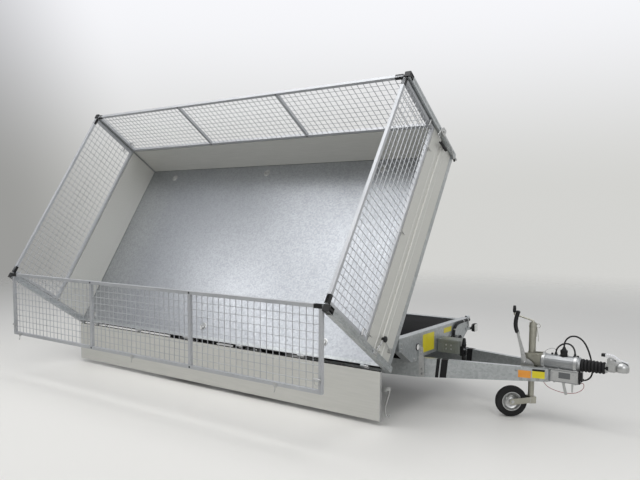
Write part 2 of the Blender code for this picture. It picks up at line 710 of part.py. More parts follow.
def make_axles(parent):
    """Torsion axles: square tube, pads to the rails, trailing arms, brake drums and stub axles."""
    for name, wheel_x in zip(("axle_rear", "axle_front"), WHEELS_X):
        tube_x = wheel_x + ARM_LENGTH
        half = AXLE_TUBE / 2
        reach = TYRE_INNER_Y - 0.040
        shapes = [block((tube_x - half, tube_x + half), (-reach, reach),
                        (AXLE_HEIGHT - half, AXLE_HEIGHT + half))]
        for side in (-1, 1):
            y = sorted((side * (RAIL_OUTER - RAIL_WIDTH + 0.004), side * (RAIL_OUTER - 0.004 - 0.025)))
            pad_top = BEAM_LOW - SEAT
            shapes.append(block((tube_x - 0.050, tube_x + 0.050), y, (AXLE_HEIGHT, pad_top)))
            outline = arc((wheel_x, TYRE_RADIUS), 0.034, 125, 305, 7)
            outline += arc((tube_x, AXLE_HEIGHT), 0.042, -55, 125, 7)
            y = sorted((side * (reach - 0.002), side * (reach + 0.026)))
            shapes.append(prism("Y", outline, y[0], y[1]))
            y = sorted((side * (reach + 0.020), side * (TYRE_INNER_Y + 0.030)))
            shapes.append(rod("Y", (wheel_x, 0, TYRE_RADIUS), y[0], y[1], 0.085, 24))
            y = sorted((side * (TYRE_INNER_Y + 0.020), side * (TRACK / 2 + 0.045)))
            shapes.append(rod("Y", (wheel_x, 0, TYRE_RADIUS), y[0], y[1], STUB_RADIUS, 16))
        node(name, combine(shapes), GALVANISED, parent)


def tyre_profile(radius, bore, width):
    """Closed section of a tyre: (across, radius)."""
    half = width / 2
    shoulder = 0.12 * width
    radius = radius / math.cos(math.pi / WHEEL_SIDES)
    return ((-half * 0.86, bore), (half * 0.86, bore), (half, bore + 0.35 * (radius - bore)),
            (half, radius - 2.2 * shoulder), (half - shoulder * 0.9, radius - shoulder * 0.35),
            (half * 0.55, radius), (-half * 0.55, radius), (-half + shoulder * 0.9, radius - shoulder * 0.35),
            (-half, radius - 2.2 * shoulder), (-half, bore + 0.35 * (radius - bore)))


def rim_profile(side):
    """Closed section of a road wheel's rim and disc about the hub bore."""
    half = TYRE_WIDTH * 0.43
    barrel = RIM_RADIUS - 0.012
    points = ((-half, RIM_RADIUS), (-half, barrel), (0.010, barrel), (0.018, 0.060), (0.030, 0.050),
              (0.030, BORE_RADIUS), (0.038, BORE_RADIUS), (0.062, 0.024), (0.062, 0.040), (0.040, 0.056),
              (0.026, 0.066), (0.026, barrel - 0.006), (half, barrel), (half, RIM_RADIUS))
    return [(side * a, r) for a, r in points]


def make_wheels(parent):
    """Four road wheels, each a tyre and a rim on one stub axle."""
    for end, x in zip(("rear", "front"), WHEELS_X):
        for name, side in SIDES:
            centre = (x, side * TRACK / 2, TYRE_RADIUS)
            section = tyre_profile(TYRE_RADIUS, RIM_RADIUS + SEAT, TYRE_WIDTH)
            tyre = turned(section, centre, "Y", WHEEL_SIDES, True, 0.5)
            node(f"tyre_{end}_{name}", tyre, RUBBER, parent, centre)
            rim = turned(rim_profile(side), centre, "Y", WHEEL_SIDES, True, 0.5)
            node(f"rim_{end}_{name}", rim, ZINC, parent, centre)


def make_rear_lamps(parent):
    """Lamp board below the rear beam, with a raised number plate seat and a lamp at each end."""
    back = REAR_BEAM_X - BEAM_WIDTH / 2
    face = back - 0.032
    half = BEAM_HALF + 0.025
    low, high = BEAM_LOW - 0.133, BEAM_LOW - 0.033
    shapes = [block((face, face + 0.024), (-half, half), (low, high)),
              block((face - PLATE_RAISE, face + 0.010), (-PLATE_HALF, PLATE_HALF),
                    (low - 0.005, high + 0.005))]
    for y in (-0.35, 0.35):
        shapes.append(block((face + 0.012, back - SEAT), (y - 0.03, y + 0.03),
                            (high - 0.030, BEAM_TOP - 0.043)))
    node("lamp_board", combine(shapes), GALVANISED, parent)
    for name, side in SIDES:
        y = sorted((side * (half - 0.160), side * (half - 0.010)))
        lamp = block((face - 0.030, face - SEAT), y, (low + 0.015, high - 0.015))
        node(f"tail_lamp_{name}", lamp, LAMP_RED, parent)


# Telescopic ram

def ram_geometry():
    """Length from the trunnion to the eye with the bed flat and tipped, and the ram's lean when tipped."""
    arm = Vector((PIVOT_Y, FLOOR_Z - EYE_DROP - PIVOT_HEIGHT))
    flat = FLOOR_Z - EYE_DROP - TRUNNION_HEIGHT
    turned_y = arm.x * math.cos(TIP_ANGLE) - arm.y * math.sin(TIP_ANGLE)
    turned_z = arm.x * math.sin(TIP_ANGLE) + arm.y * math.cos(TIP_ANGLE)
    eye_y = turned_y - PIVOT_Y
    eye_z = turned_z + PIVOT_HEIGHT - TRUNNION_HEIGHT
    return flat, math.hypot(eye_y, eye_z), math.atan2(-eye_y, eye_z)


def make_ram(trailer):
    """The ram's barrel on its trunnion and three stages, drawn extended along +Z and leaned over."""
    flat, tipped, lean = ram_geometry()
    travel = (tipped - flat) / STAGE_COUNT
    base = empty("ram_trunnion", (RAM_X, 0.0, TRUNNION_HEIGHT), trailer, (lean, 0.0, 0.0))
    centre = (RAM_X, 0.0, TRUNNION_HEIGHT)
    inner = [ROD_RADIUS]
    for _ in range(STAGE_COUNT):
        inner.append(inner[-1] + RAM_GAP + RAM_WALL)
    bore = inner[STAGE_COUNT - 1] + RAM_GAP
    outer = bore + RAM_WALL
    bottom = RAM_MOUTH + STAGE_STEP - STAGE_LENGTH - 0.004
    barrel = turned(((bottom - 0.012, 0.0), (bottom - 0.012, outer), (RAM_MOUTH, outer), (RAM_MOUTH, bore),
                     (bottom, bore), (bottom, 0.0)), centre, "Z", 20)
    pins = [rod("X", centre, outer - 0.004, 0.100, 0.016, 16),
            rod("X", centre, -0.100, -outer + 0.004, 0.016, 16)]
    node("ram_barrel", combine([barrel] + pins), GALVANISED, base)
    for number in range(1, STAGE_COUNT):
        radius = inner[STAGE_COUNT - number]
        hole = radius - RAM_WALL
        top = RAM_MOUTH + number * (STAGE_STEP + travel)
        low = top - STAGE_LENGTH
        stage = turned(((low, hole), (low, radius), (top, radius), (top, hole)), centre, "Z", 20, True)
        node(f"ram_stage_{number}", stage, CHROME, base)
    low = RAM_MOUTH + STAGE_COUNT * (STAGE_STEP + travel) - STAGE_LENGTH - STAGE_STEP
    stem = rod("Z", centre, low, tipped, ROD_RADIUS, 20)
    eye = rod("X", (RAM_X, 0.0, TRUNNION_HEIGHT + tipped), -EYE_HALF, EYE_HALF, EYE_RADIUS, 16)
    node("ram_rod", combine([stem, eye]), CHROME, base)


# Coupling and drawbar fittings

def make_coupling(parent):
    """Overrun housing, bellows and coupling head."""
    centre = (0.0, 0.0, HOUSING_AXIS_Z)
    rear = drawbar_half(HOUSING_REAR_X) - DRAWBAR_THICK - SEAT
    nose = drawbar_half(DRAWBAR_FRONT_X) - DRAWBAR_THICK - SEAT
    low = DRAWBAR_TOP - DRAWBAR_NOSE_DEPTH
    base = loft([(x, -half, half, low, HOUSING_BASE_TOP) for x, half in
                 ((HOUSING_REAR_X, rear), (DRAWBAR_FRONT_X, nose), (HOUSING_FRONT_X, nose))])
    profile = ((HOUSING_REAR_X + 0.01, 0.040), (HOUSING_REAR_X + 0.03, HOUSING_RADIUS),
               (HOUSING_FRONT_X - 0.01, HOUSING_RADIUS), (HOUSING_FRONT_X + HOUSING_LIP, 0.046))
    barrel = turned(profile, centre, "X", 24)
    node("overrun_housing", combine([base, barrel]), ZINC, parent)
    start = HOUSING_FRONT_X + HOUSING_LIP + SEAT
    finish = HOUSING_FRONT_X + BELLOWS_LENGTH
    ribs = 6
    pitch = (finish - start) / ribs
    profile = [(start, BELLOWS_RADIUS - 0.010)]
    for k in range(ribs):
        profile.append((start + pitch * (k + 0.35), BELLOWS_RADIUS - 0.001 * k))
        profile.append((start + pitch * (k + 0.65), BELLOWS_RADIUS - 0.001 * k))
        profile.append((start + pitch * (k + 1), BELLOWS_RADIUS - 0.010 - 0.001 * k))
    node("bellows", turned(profile, centre, "X", 12), RUBBER, parent)
    head_base = HOUSING_AXIS_Z - 0.012
    cup = turned(((0.0, 0.0), (0.0, HEAD_RADIUS), (0.040, HEAD_RADIUS), (0.060, HEAD_RADIUS - 0.012),
                  (0.068, 0.0)), (HEAD_BALL_X, 0.0, head_base), "Z", 24)
    neck = loft(((finish + SEAT, -0.026, 0.026, HOUSING_AXIS_Z - 0.024, HOUSING_AXIS_Z + 0.026),
                 (HEAD_BALL_X - 0.010, -0.034, 0.034, head_base + 0.004, head_base + 0.052)))
    route = ((0.020, 0.060), (-0.030, 0.082), (-0.105, 0.098), (-0.125, 0.090))
    handle = pipe([(HEAD_BALL_X + x, 0, head_base + z) for x, z in route], (0.012, 0.012, 0.010, 0.008), 8)
    lock = block((HEAD_BALL_X - 0.075, HEAD_BALL_X - 0.055), (-0.010, 0.010),
                 (head_base + 0.045, head_base + 0.090))
    recess = ((-0.010, 0.0), (-0.010, BALL_SEAT_RADIUS), (0.022, BALL_SEAT_RADIUS), (0.036, 0.018),
              (0.044, 0.0))
    seat = turned(recess, (HEAD_BALL_X, 0.0, head_base), "Z", 20)
    node("coupling_head", cut(combine([cup, neck, lock, handle]), [seat]), ZINC, parent)


def make_brake_lever(parent):
    """Handbrake lever with its curved grip, on the jockey clamp's plate."""
    y = -0.060
    route = ((3.982, 0.3723), (3.982, 0.385), (3.982, 0.400), (3.950, 0.520), (3.926, 0.606), (3.914, 0.650),
             (3.918, 0.700), (3.934, 0.757))
    path = smooth_path([(x, y, z) for x, z in route], 3)
    radii = [0.009 if p.z < 0.60 else 0.015 for p in path]
    node("brake_lever", pipe(path, radii, 10), PLASTIC, parent)


def make_jockey(trailer):
    """Jockey wheel: clamped mast with its crank, inner tube, swivelling fork and wheel."""
    centre = (MAST_X, 0.0, 0.0)
    plate_half = drawbar_half(MAST_X + 0.035) - DRAWBAR_THICK - SEAT
    plate = block((MAST_X - 0.060, MAST_X + 0.035), (-plate_half, plate_half), (0.330, 0.372))
    collar = rod("Z", centre, 0.325, 0.440, 0.033, 20)
    tube = rod("Z", centre, 0.296, MAST_TOP, MAST_RADIUS, 20)
    hole = rod("Z", centre, 0.290, MAST_TOP - 0.012, MAST_BORE, 20)
    node("jockey_mast", cut(combine([plate, collar, tube]), [hole]), PASSIVATED, trailer)
    route = ((0.0, SEAT), (0.0, 0.014), (-0.030, 0.022), (-0.120, 0.040), (-0.132, 0.050), (-0.132, 0.070))
    arm = pipe([(MAST_X + x, 0, MAST_TOP + z) for x, z in route], (0.006,) * len(route), 8)
    grip = rod("Z", (MAST_X - 0.132, 0.0, 0.0), MAST_TOP + 0.060, MAST_TOP + 0.112, 0.012, 12)
    node("jockey_crank", combine([arm, grip]), PLASTIC, trailer)
    slide = empty("jockey_slide", (MAST_X, 0.0, FORK_TOP), trailer)
    inner = rod("Z", centre, FORK_TOP + SEAT, FORK_TOP + 0.302, TUBE_RADIUS, 20)
    node("jockey_tube", inner, PASSIVATED, slide)
    swivel = empty("jockey_swivel", (MAST_X, 0.0, FORK_TOP), slide, (0.0, 0.0, JOCKEY_SWIVEL))
    hub_x = MAST_X - JOCKEY_TRAIL
    gap = JOCKEY_WIDTH / 2 + 0.006
    shapes = [block((MAST_X - 0.020, MAST_X + 0.026), (-gap - 0.004, gap + 0.004),
                    (FORK_TOP - 0.048, FORK_TOP))]
    for side in (-1, 1):
        y = sorted((side * gap, side * (gap + 0.005)))
        outline = [(MAST_X - 0.015, FORK_TOP - 0.044), (MAST_X - 0.015, FORK_TOP - 0.004),
                   (hub_x, JOCKEY_RADIUS + 0.022)]
        outline += arc((hub_x, JOCKEY_RADIUS), 0.022, 110, 250, 5)
        outline += [(hub_x, JOCKEY_RADIUS - 0.022)]
        shapes.append(prism("Y", outline, y[0], y[1]))
    shapes.append(rod("Y", (hub_x, 0.0, JOCKEY_RADIUS), -gap - 0.003, gap + 0.003, 0.008, 12))
    node("jockey_fork", combine(shapes), PASSIVATED, swivel)
    hub = (hub_x, 0.0, JOCKEY_RADIUS)
    tyre = turned(tyre_profile(JOCKEY_RADIUS, 0.068 + SEAT, JOCKEY_WIDTH), hub, "Y", WHEEL_SIDES, True, 0.5)
    node("jockey_tyre", tyre, RUBBER, swivel, hub)
    half = JOCKEY_WIDTH / 2
    section = ((-half * 0.8, 0.068), (-half * 0.8, 0.058), (-0.006, 0.050), (-0.006, 0.020), (-half, 0.018),
               (-half, 0.0085), (half, 0.0085), (half, 0.018), (0.006, 0.020), (0.006, 0.050),
               (half * 0.8, 0.058), (half * 0.8, 0.068))
    rim = turned(section, hub, "Y", WHEEL_SIDES, True, 0.5)
    node("jockey_rim", rim, ZINC, swivel, hub)


def make_pump(parent):
    """Hydraulic pump box in front of the beam and the hand pump beside it."""
    face = FRONT_BEAM_X + BEAM_WIDTH / 2 + SEAT
    box_front = face + PUMP_LENGTH
    box = block((face, box_front), (0.0, 0.130), (BEAM_LOW - PUMP_DROP, BEAM_LOW + 0.015))
    node("pump_box", box, BOX_GREY, parent)
    hand = block((box_front + SEAT, box_front + 0.042), (0.014, 0.062), (BEAM_LOW - 0.140, BEAM_LOW + 0.034))
    node("hand_pump", hand, PLASTIC, parent)
    level = BEAM_LOW + 0.010
    arm = block((face, face + LAMP_ARM), (BEAM_HALF - 0.080, BEAM_HALF + 0.050),
                (level - 0.012, level + 0.012))
    head = block((face, face + LAMP_ARM + 0.014), (BEAM_HALF + 0.040, BEAM_HALF + LAMP_REACH),
                 (level - 0.036, level + 0.030))
    node("marker_lamp", combine([arm, head]), LAMP_CLEAR, parent)


def cord(name, route, radius, parent, spec):
    """A free cable as a round tube along a smooth route."""
    path = smooth_path(route, 3)
    curve = bpy.data.curves.new(name, "CURVE")
    curve.dimensions = "3D"
    curve.bevel_depth = radius
    curve.bevel_resolution = 2
    curve.use_fill_caps = True
    line = curve.splines.new("POLY")
    line.points.add(len(path) - 1)
    for point, spot in zip(line.points, path):
        point.co = (*spot, 1.0)
    curve.materials.append(material(spec))
    made = bpy.data.objects.new(name, curve)
    bpy.context.collection.objects.link(made)
    made.parent = parent


# Routes of the cables on the drawbar's nose
PLUG_CABLE = ((4.232, 0.0, 0.5264), (4.232, 0.0, 0.540), (4.236, 0.001, 0.561), (4.250, 0.004, 0.585),
              (4.275, 0.009, 0.602), (4.307, 0.018, 0.602), (4.337, 0.031, 0.582), (4.361, 0.045, 0.545),
              (4.378, 0.057, 0.498), (4.391, 0.066, 0.448), (4.400, 0.071, 0.400), (4.402, 0.070, 0.358),
              (4.394, 0.062, 0.327), (4.378, 0.050, 0.309), (4.3625, 0.0425, 0.303), (4.354, 0.041, 0.303),
              (4.3455, 0.041, 0.303))
ARCH_CABLE = ((4.180, 0.0, 0.4665), (4.180, 0.0, 0.476), (4.180, 0.0, 0.484), (4.1845, 0.0046, 0.5065),
              (4.1982, 0.0165, 0.5264), (4.2188, 0.0284, 0.5396), (4.242, 0.033, 0.544),
              (4.2652, 0.0284, 0.5396), (4.2858, 0.0165, 0.5264), (4.2995, 0.0046, 0.5065),
              (4.304, 0.0, 0.484), (4.304, 0.0, 0.476), (4.304, 0.0, 0.4665))
BREAKAWAY = ((4.110, -0.030, 0.2896), (4.110, -0.030, 0.280), (4.110, -0.030, 0.270), (4.140, -0.033, 0.240),
             (4.190, -0.036, 0.222), (4.250, -0.038, 0.214), (4.310, -0.038, 0.220), (4.352, -0.036, 0.240),
             (4.374, -0.032, 0.268), (4.372, -0.030, 0.292), (4.362, -0.030, 0.296), (4.354, -0.030, 0.296),
             (4.3454, -0.030, 0.296))


def make_cables(parent):
    """The parked plug and the three cables round the overrun housing."""
    top = HOUSING_AXIS_Z + HOUSING_RADIUS + SEAT
    plug = turned(((0.0, 0.0), (0.0, 0.024), (0.036, 0.024), (0.044, 0.014), (0.0597, 0.010), (0.0597, 0.0)),
                  (PLUG_CABLE[0][0], 0.0, top), "Z", 12)
    node("parked_plug", plug, PLASTIC, parent)
    cord("plug_cable", PLUG_CABLE, CABLE_RADIUS, parent, RUBBER)
    cord("arch_cable", ARCH_CABLE, CABLE_RADIUS, parent, RUBBER)
    cord("breakaway_cable", BREAKAWAY, ROPE_RADIUS, parent, RUBBER)


def centre_on_floor(trailer):
    """Moves the whole trailer so that its origin is the bottom centre of its box."""
    bpy.context.view_layer.update()
    graph = bpy.context.evaluated_depsgraph_get()
    spots = []
    for item in bpy.data.objects:
        if item.type in {"MESH", "CURVE"}:
            evaluated = item.evaluated_get(graph)
            spots += [item.matrix_world @ v.co for v in evaluated.to_mesh().vertices]
            evaluated.to_mesh_clear()
    low = [min(s[i] for s in spots) for i in range(3)]
    high = [max(s[i] for s in spots) for i in range(3)]
    trailer.location = (-(low[0] + high[0]) / 2, -(low[1] + high[1]) / 2, -low[2])


def build():
    """Builds the whole trailer."""
    clear_scene()
    trailer = empty("trailer", (0.0, 0.0, 0.0))
    make_beams(trailer)
    make_rails(trailer)
    make_ram_cradle(trailer)
    make_axles(trailer)
    make_wheels(trailer)
    make_rear_lamps(trailer)
    make_ram(trailer)
    make_coupling(trailer)
    make_brake_lever(trailer)
    make_jockey(trailer)
    make_pump(trailer)
    make_cables(trailer)
    bed = empty("bed_pivot", (0.0, -PIVOT_Y, PIVOT_HEIGHT), trailer, (TIP_ANGLE, 0.0, 0.0))
    make_bed_frame(bed)
    make_bed_floor(bed)
    make_posts(bed)
    make_front_board(bed)
    make_drop_sides(bed, math.pi - TIP_ANGLE)
    make_mesh_panels(bed, -TIP_ANGLE)
    centre_on_floor(trailer)


build()
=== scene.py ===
"""Looks of a three-way dump trailer with a mesh cage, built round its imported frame. Metres, +Z up.

Pieces are drawn on the flat, closed trailer: X = 0 at the bed's rear inner edge, +X to the coupling, Y = 0
on the centreline, -Y the tipping side and Z = 0 the ground. A matrix then carries each piece to its place.
"""
import json
import math

import bmesh
import bpy
from mathutils import Matrix, Vector


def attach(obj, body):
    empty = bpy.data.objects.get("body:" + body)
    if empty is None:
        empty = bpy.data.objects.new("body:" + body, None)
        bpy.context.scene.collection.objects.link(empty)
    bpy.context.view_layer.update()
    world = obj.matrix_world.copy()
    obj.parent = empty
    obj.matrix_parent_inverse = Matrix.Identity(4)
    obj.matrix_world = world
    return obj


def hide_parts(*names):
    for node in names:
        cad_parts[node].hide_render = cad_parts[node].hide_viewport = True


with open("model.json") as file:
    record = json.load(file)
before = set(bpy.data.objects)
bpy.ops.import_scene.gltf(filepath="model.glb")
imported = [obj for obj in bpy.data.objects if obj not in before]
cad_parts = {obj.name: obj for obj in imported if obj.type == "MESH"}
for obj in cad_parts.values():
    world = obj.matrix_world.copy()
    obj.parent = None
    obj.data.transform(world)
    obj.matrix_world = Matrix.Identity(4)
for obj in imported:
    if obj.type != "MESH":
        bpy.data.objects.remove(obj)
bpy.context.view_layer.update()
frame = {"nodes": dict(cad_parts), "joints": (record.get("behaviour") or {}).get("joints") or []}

# Bed and cage
BED_LENGTH = 3.3
HALF_WIDTH = 0.87
SIDE_HEIGHT = 0.345
CAGE_HEIGHT = 0.895
BOARD_THICK = 0.025
PLANK_GROOVE = 0.0035
POST_SIZE = 0.044
POST_GAP = 0.0005
END_GAP = 0.001
MESH_TUBE = 0.025
MESH_BOTTOM = 0.352
WIRE_PITCH = 0.05
WIRE_RADIUS = 0.0026
PANEL_INSET = 0.006
END_PANEL_PLAY = 0.013
WIRE_BITE = 0.003
HOOK_SHARES = (0.03, 0.483, 0.894)
FLOOR_Z = 0.631
OUTER_Y = HALF_WIDTH + BOARD_THICK
WALL_LINE = HALF_WIDTH + BOARD_THICK / 2
TUBE_LINE = CAGE_HEIGHT - MESH_TUBE / 2
CROSS_X = (0.07, 0.47, 0.87, 1.27, 1.595, 1.715, 2.04, 2.45, 2.86, 3.27)

# Hinges and pivots
HINGE_Y = 0.905
HINGE_Z = 0.619
KNUCKLE_RADIUS = 0.009
KNUCKLE_LENGTH = 0.03
PIN_HEAD = 0.0035
BOARD_LIFT = 0.003
HINGES_X = (0.18, 0.78, 1.38, 1.98, 2.58, 3.12)
HINGES_Y = (-0.66, -0.22, 0.22, 0.66)
PIVOT = Vector((0.0, -0.6645, 0.556))
TIP = 56.7

# Chassis
BEAM_LOW = 0.463
FRONT_BEAM_FACE = 3.3
RAIL_OUTER = 0.545
DRAWBAR_TOP = 0.379
DRAWBAR_LOW = 0.234
DRAWBAR_FRONT_X = 4.16
DRAWBAR_THICK = 0.04
DRAWBAR_SLOPE = 0.236
DRAWBAR_TAPER = 0.0651
DRAWBAR_FRONT_HALF = 0.1076
TYRE_RADIUS = 0.245
TYRE_WIDTH = 0.15
RIM_RADIUS = 0.128
TRACK = 1.27
WHEELS_X = (1.28, 2.03)
ARM_LENGTH = 0.145
BRAKE_ROD_Y = 0.18
DRUM_BOLTS = 8
RAM_X = 1.655
TRUNNION_Z = 0.4
RAM_LEAN = 21.781
STAGE_TRAVEL = 0.21876

# Drawbar's nose
HOUSING_REAR_X = 4.075
HOUSING_FRONT_X = 4.345
HOUSING_AXIS_Z = 0.414
HOUSING_RADIUS = 0.052
HOUSING_TOP = HOUSING_AXIS_Z + HOUSING_RADIUS
HOUSING_LOW = 0.29
BELLOWS_END_X = 4.499
HEAD_BALL_X = 4.597
MAST_X = 4.018
MAST_TOP = 0.674
JOCKEY_RADIUS = 0.11
JOCKEY_WIDTH = 0.05
JOCKEY_TRAIL = 0.14
JOCKEY_SWIVEL = 38.0
FORK_TOP = 0.148

# Directions, sides and fine sizes
FORWARD = (1.0, 0.0, 0.0)
BACKWARD = (-1.0, 0.0, 0.0)
LEFTWARD = (0.0, 1.0, 0.0)
RIGHTWARD = (0.0, -1.0, 0.0)
UP = (0.0, 0.0, 1.0)
DOWN = (0.0, 0.0, -1.0)
SIDES = (("right", -1), ("left", 1))
MIRROR_Y = Matrix.Diagonal((1.0, -1.0, 1.0, 1.0))
GAP = 0.0003
CORNER_STEPS = 4


def about(base, point, degrees, axis="X"):
    """The placement base, with a turn about an axis through a point of the flat trailer."""
    turn = Matrix.Rotation(math.radians(degrees), 4, axis)
    return base @ Matrix.Translation(point) @ turn @ Matrix.Translation(-Vector(point))


tip_joint = next(j for j in frame["joints"] if j["name"] == "bed_tip")
SHIFT = Vector(tip_joint["pos_m"]) - PIVOT
CHASSIS = Matrix.Translation(SHIFT)
BED = about(CHASSIS, PIVOT, TIP)
RIGHT_MESH = about(BED, (0.0, -WALL_LINE, FLOOR_Z + TUBE_LINE), -TIP)
RIGHT_BOARD = about(BED, (0.0, -HINGE_Y, HINGE_Z), 180.0 - TIP)
RAM = about(CHASSIS, (RAM_X, 0.0, TRUNNION_Z), RAM_LEAN)
FORK = about(CHASSIS, (MAST_X, 0.0, FORK_TOP), JOCKEY_SWIVEL, "Z")


# Materials

REFRACTION = 1.45


def link(tree, source, target):
    """A wire from an output to an input of a node tree."""
    tree.links.new(source, target)


def blotches(tree, coords, scale, detail, stretch):
    """A noise value between 0 and 1 over object coordinates, stretched along an axis if asked."""
    noise = tree.nodes.new("ShaderNodeTexNoise")
    noise.inputs["Scale"].default_value = scale
    noise.inputs["Detail"].default_value = detail
    if stretch:
        mapping = tree.nodes.new("ShaderNodeMapping")
        mapping.inputs["Scale"].default_value = stretch
        link(tree, coords, mapping.inputs["Vector"])
        link(tree, mapping.outputs["Vector"], noise.inputs["Vector"])
    else:
        link(tree, coords, noise.inputs["Vector"])
    return noise.outputs["Fac"]


def spangle(tree, coords, scale):
    """One random value for each crystal of a zinc coating."""
    cells = tree.nodes.new("ShaderNodeTexVoronoi")
    cells.inputs["Scale"].default_value = scale
    link(tree, coords, cells.inputs["Vector"])
    split = tree.nodes.new("ShaderNodeSeparateColor")
    link(tree, cells.outputs["Color"], split.inputs["Color"])
    return split.outputs["Red"]


def weigh(tree, terms):
    """Sum of weight times value over (value, weight) pairs."""
    total = None
    for value, weight in terms:
        scaled = tree.nodes.new("ShaderNodeMath")
        scaled.operation = "MULTIPLY_ADD"
        link(tree, value, scaled.inputs[0])
        scaled.inputs[1].default_value = weight
        scaled.inputs[2].default_value = 0.0
        if total:
            link(tree, total, scaled.inputs[2])
        total = scaled.outputs[0]
    return total


def ranged(tree, value, low, high, start=0.0, end=1.0, curve="LINEAR"):
    """The value mapped from start..end to low..high."""
    node = tree.nodes.new("ShaderNodeMapRange")
    node.interpolation_type = curve
    link(tree, value, node.inputs["Value"])
    node.inputs["From Min"].default_value = start
    node.inputs["From Max"].default_value = end
    node.inputs["To Min"].default_value = low
    node.inputs["To Max"].default_value = high
    return node.outputs["Result"]


def finish(name, dark, light, roughness, metallic, patch, grain, crystals=None, stretch=None,
           bump=0.0004, coat=0.0, specular=0.5):
    """A surface that varies between two colours, with its roughness and bump from the same pattern.

    patch and grain are (scale, weight) of large stains and of fine grain; crystals of zinc spangle."""
    made = bpy.data.materials.new(name)
    made.use_nodes = True
    tree = made.node_tree
    shader = tree.nodes["Principled BSDF"]
    coords = tree.nodes.new("ShaderNodeTexCoord").outputs["Object"]
    terms = [(blotches(tree, coords, patch[0], 4.0, stretch), patch[1]),
             (blotches(tree, coords, grain[0], 2.0, stretch), grain[1])]
    if crystals:
        terms.append((spangle(tree, coords, crystals[0]), crystals[1]))
    pattern = weigh(tree, terms)
    colours = tree.nodes.new("ShaderNodeValToRGB")
    total = sum(weight for _, weight in terms)
    for stop, share, colour in zip(colours.color_ramp.elements, (0.22, 0.78), (dark, light)):
        stop.position = share * total
        stop.color = (*colour, 1.0)
    link(tree, pattern, colours.inputs["Fac"])
    link(tree, colours.outputs["Color"], shader.inputs["Base Color"])
    link(tree, ranged(tree, pattern, roughness[0], roughness[1]), shader.inputs["Roughness"])
    shader.inputs["Metallic"].default_value = metallic
    shader.inputs["IOR"].default_value = REFRACTION
    shader.inputs["Coat Weight"].default_value = coat
    shader.inputs["Specular IOR Level"].default_value = specular
    height = tree.nodes.new("ShaderNodeBump")
    height.inputs["Strength"].default_value = 0.5
    height.inputs["Distance"].default_value = bump
    link(tree, pattern, height.inputs["Height"])
    link(tree, height.outputs["Normal"], shader.inputs["Normal"])
    return made


GALVANISED = finish("hot_dip_zinc", (0.32, 0.34, 0.345), (0.53, 0.55, 0.555), (0.48, 0.3),
                    0.75, (3.0, 0.5), (220.0, 0.25), (70.0, 0.25))
SHEET = finish("zinc_sheet", (0.29, 0.305, 0.325), (0.42, 0.435, 0.455), (0.42, 0.28),
               0.88, (1.6, 0.4), (90.0, 0.25), (85.0, 0.35), bump=0.0003)
ALUMINIUM = finish("anodised_profile", (0.53, 0.53, 0.495), (0.63, 0.625, 0.59), (0.5, 0.38),
                   0.35, (1.2, 0.5), (90.0, 0.5), stretch=(0.06, 1.0, 1.0), bump=0.0001)
MESH_STEEL = finish("mesh_zinc", (0.37, 0.38, 0.395), (0.53, 0.54, 0.555), (0.6, 0.46), 0.55,
                    (4.0, 0.6), (260.0, 0.4), bump=0.0002)
RUBBER = finish("black_rubber", (0.006, 0.006, 0.0065), (0.017, 0.017, 0.018), (0.7, 0.52), 0.0,
                (6.0, 0.5), (400.0, 0.5), bump=0.0002, specular=0.3)
TREAD = finish("tyre_rubber", (0.009, 0.009, 0.0095), (0.026, 0.0255, 0.025), (0.9, 0.7), 0.0,
               (5.0, 0.6), (300.0, 0.4), bump=0.0003, specular=0.3)
PLASTIC = finish("moulded_plastic", (0.006, 0.006, 0.0065), (0.016, 0.016, 0.017),
                 (0.46, 0.34), 0.0, (8.0, 0.4), (500.0, 0.6), bump=0.0001, specular=0.35)
# Near-black matte surface: painted shade, worn by the box that darkens the chassis behind the front beam.
PAINTED_SHADE_BLACK = finish("painted_shade_black", (0.004, 0.004, 0.004), (0.011, 0.011, 0.0115), (0.95, 0.8),
               0.0, (4.0, 0.6), (240.0, 0.4), specular=0.15)
CHROME = finish("hard_chrome", (0.62, 0.63, 0.65), (0.8, 0.81, 0.83), (0.16, 0.08), 1.0,
                (5.0, 0.5), (200.0, 0.5), stretch=(1.0, 1.0, 0.05), bump=0.00005)
ZINC = finish("plated_casting", (0.33, 0.335, 0.33), (0.6, 0.605, 0.6), (0.42, 0.24), 0.85,
              (9.0, 0.5), (240.0, 0.5))
CASTING = finish("grey_casting", (0.2, 0.205, 0.205), (0.4, 0.41, 0.415), (0.5, 0.34), 0.8,
                 (7.0, 0.6), (220.0, 0.4), bump=0.0005)
PASSIVATED = finish("yellow_zinc", (0.25, 0.243, 0.2), (0.45, 0.44, 0.38), (0.46, 0.28),
                    0.75, (10.0, 0.6), (200.0, 0.4), bump=0.0002)
BOX_GREY = finish("painted_cover", (0.15, 0.162, 0.142), (0.24, 0.252, 0.225), (0.52, 0.4), 0.1,
                  (5.0, 0.5), (350.0, 0.5), bump=0.0002)


def lens_look(name, dark, light, roughness):
    """Coloured, glossy lamp plastic."""
    return finish(name, dark, light, roughness, 0.0, (12.0, 0.5), (160.0, 0.5), bump=0.0005, coat=0.6)


def label_look(name, dark, light, roughness, metallic):
    """Smooth printed film or an enamelled plate."""
    return finish(name, dark, light, roughness, metallic, (14.0, 0.6), (300.0, 0.4), bump=0.00005)


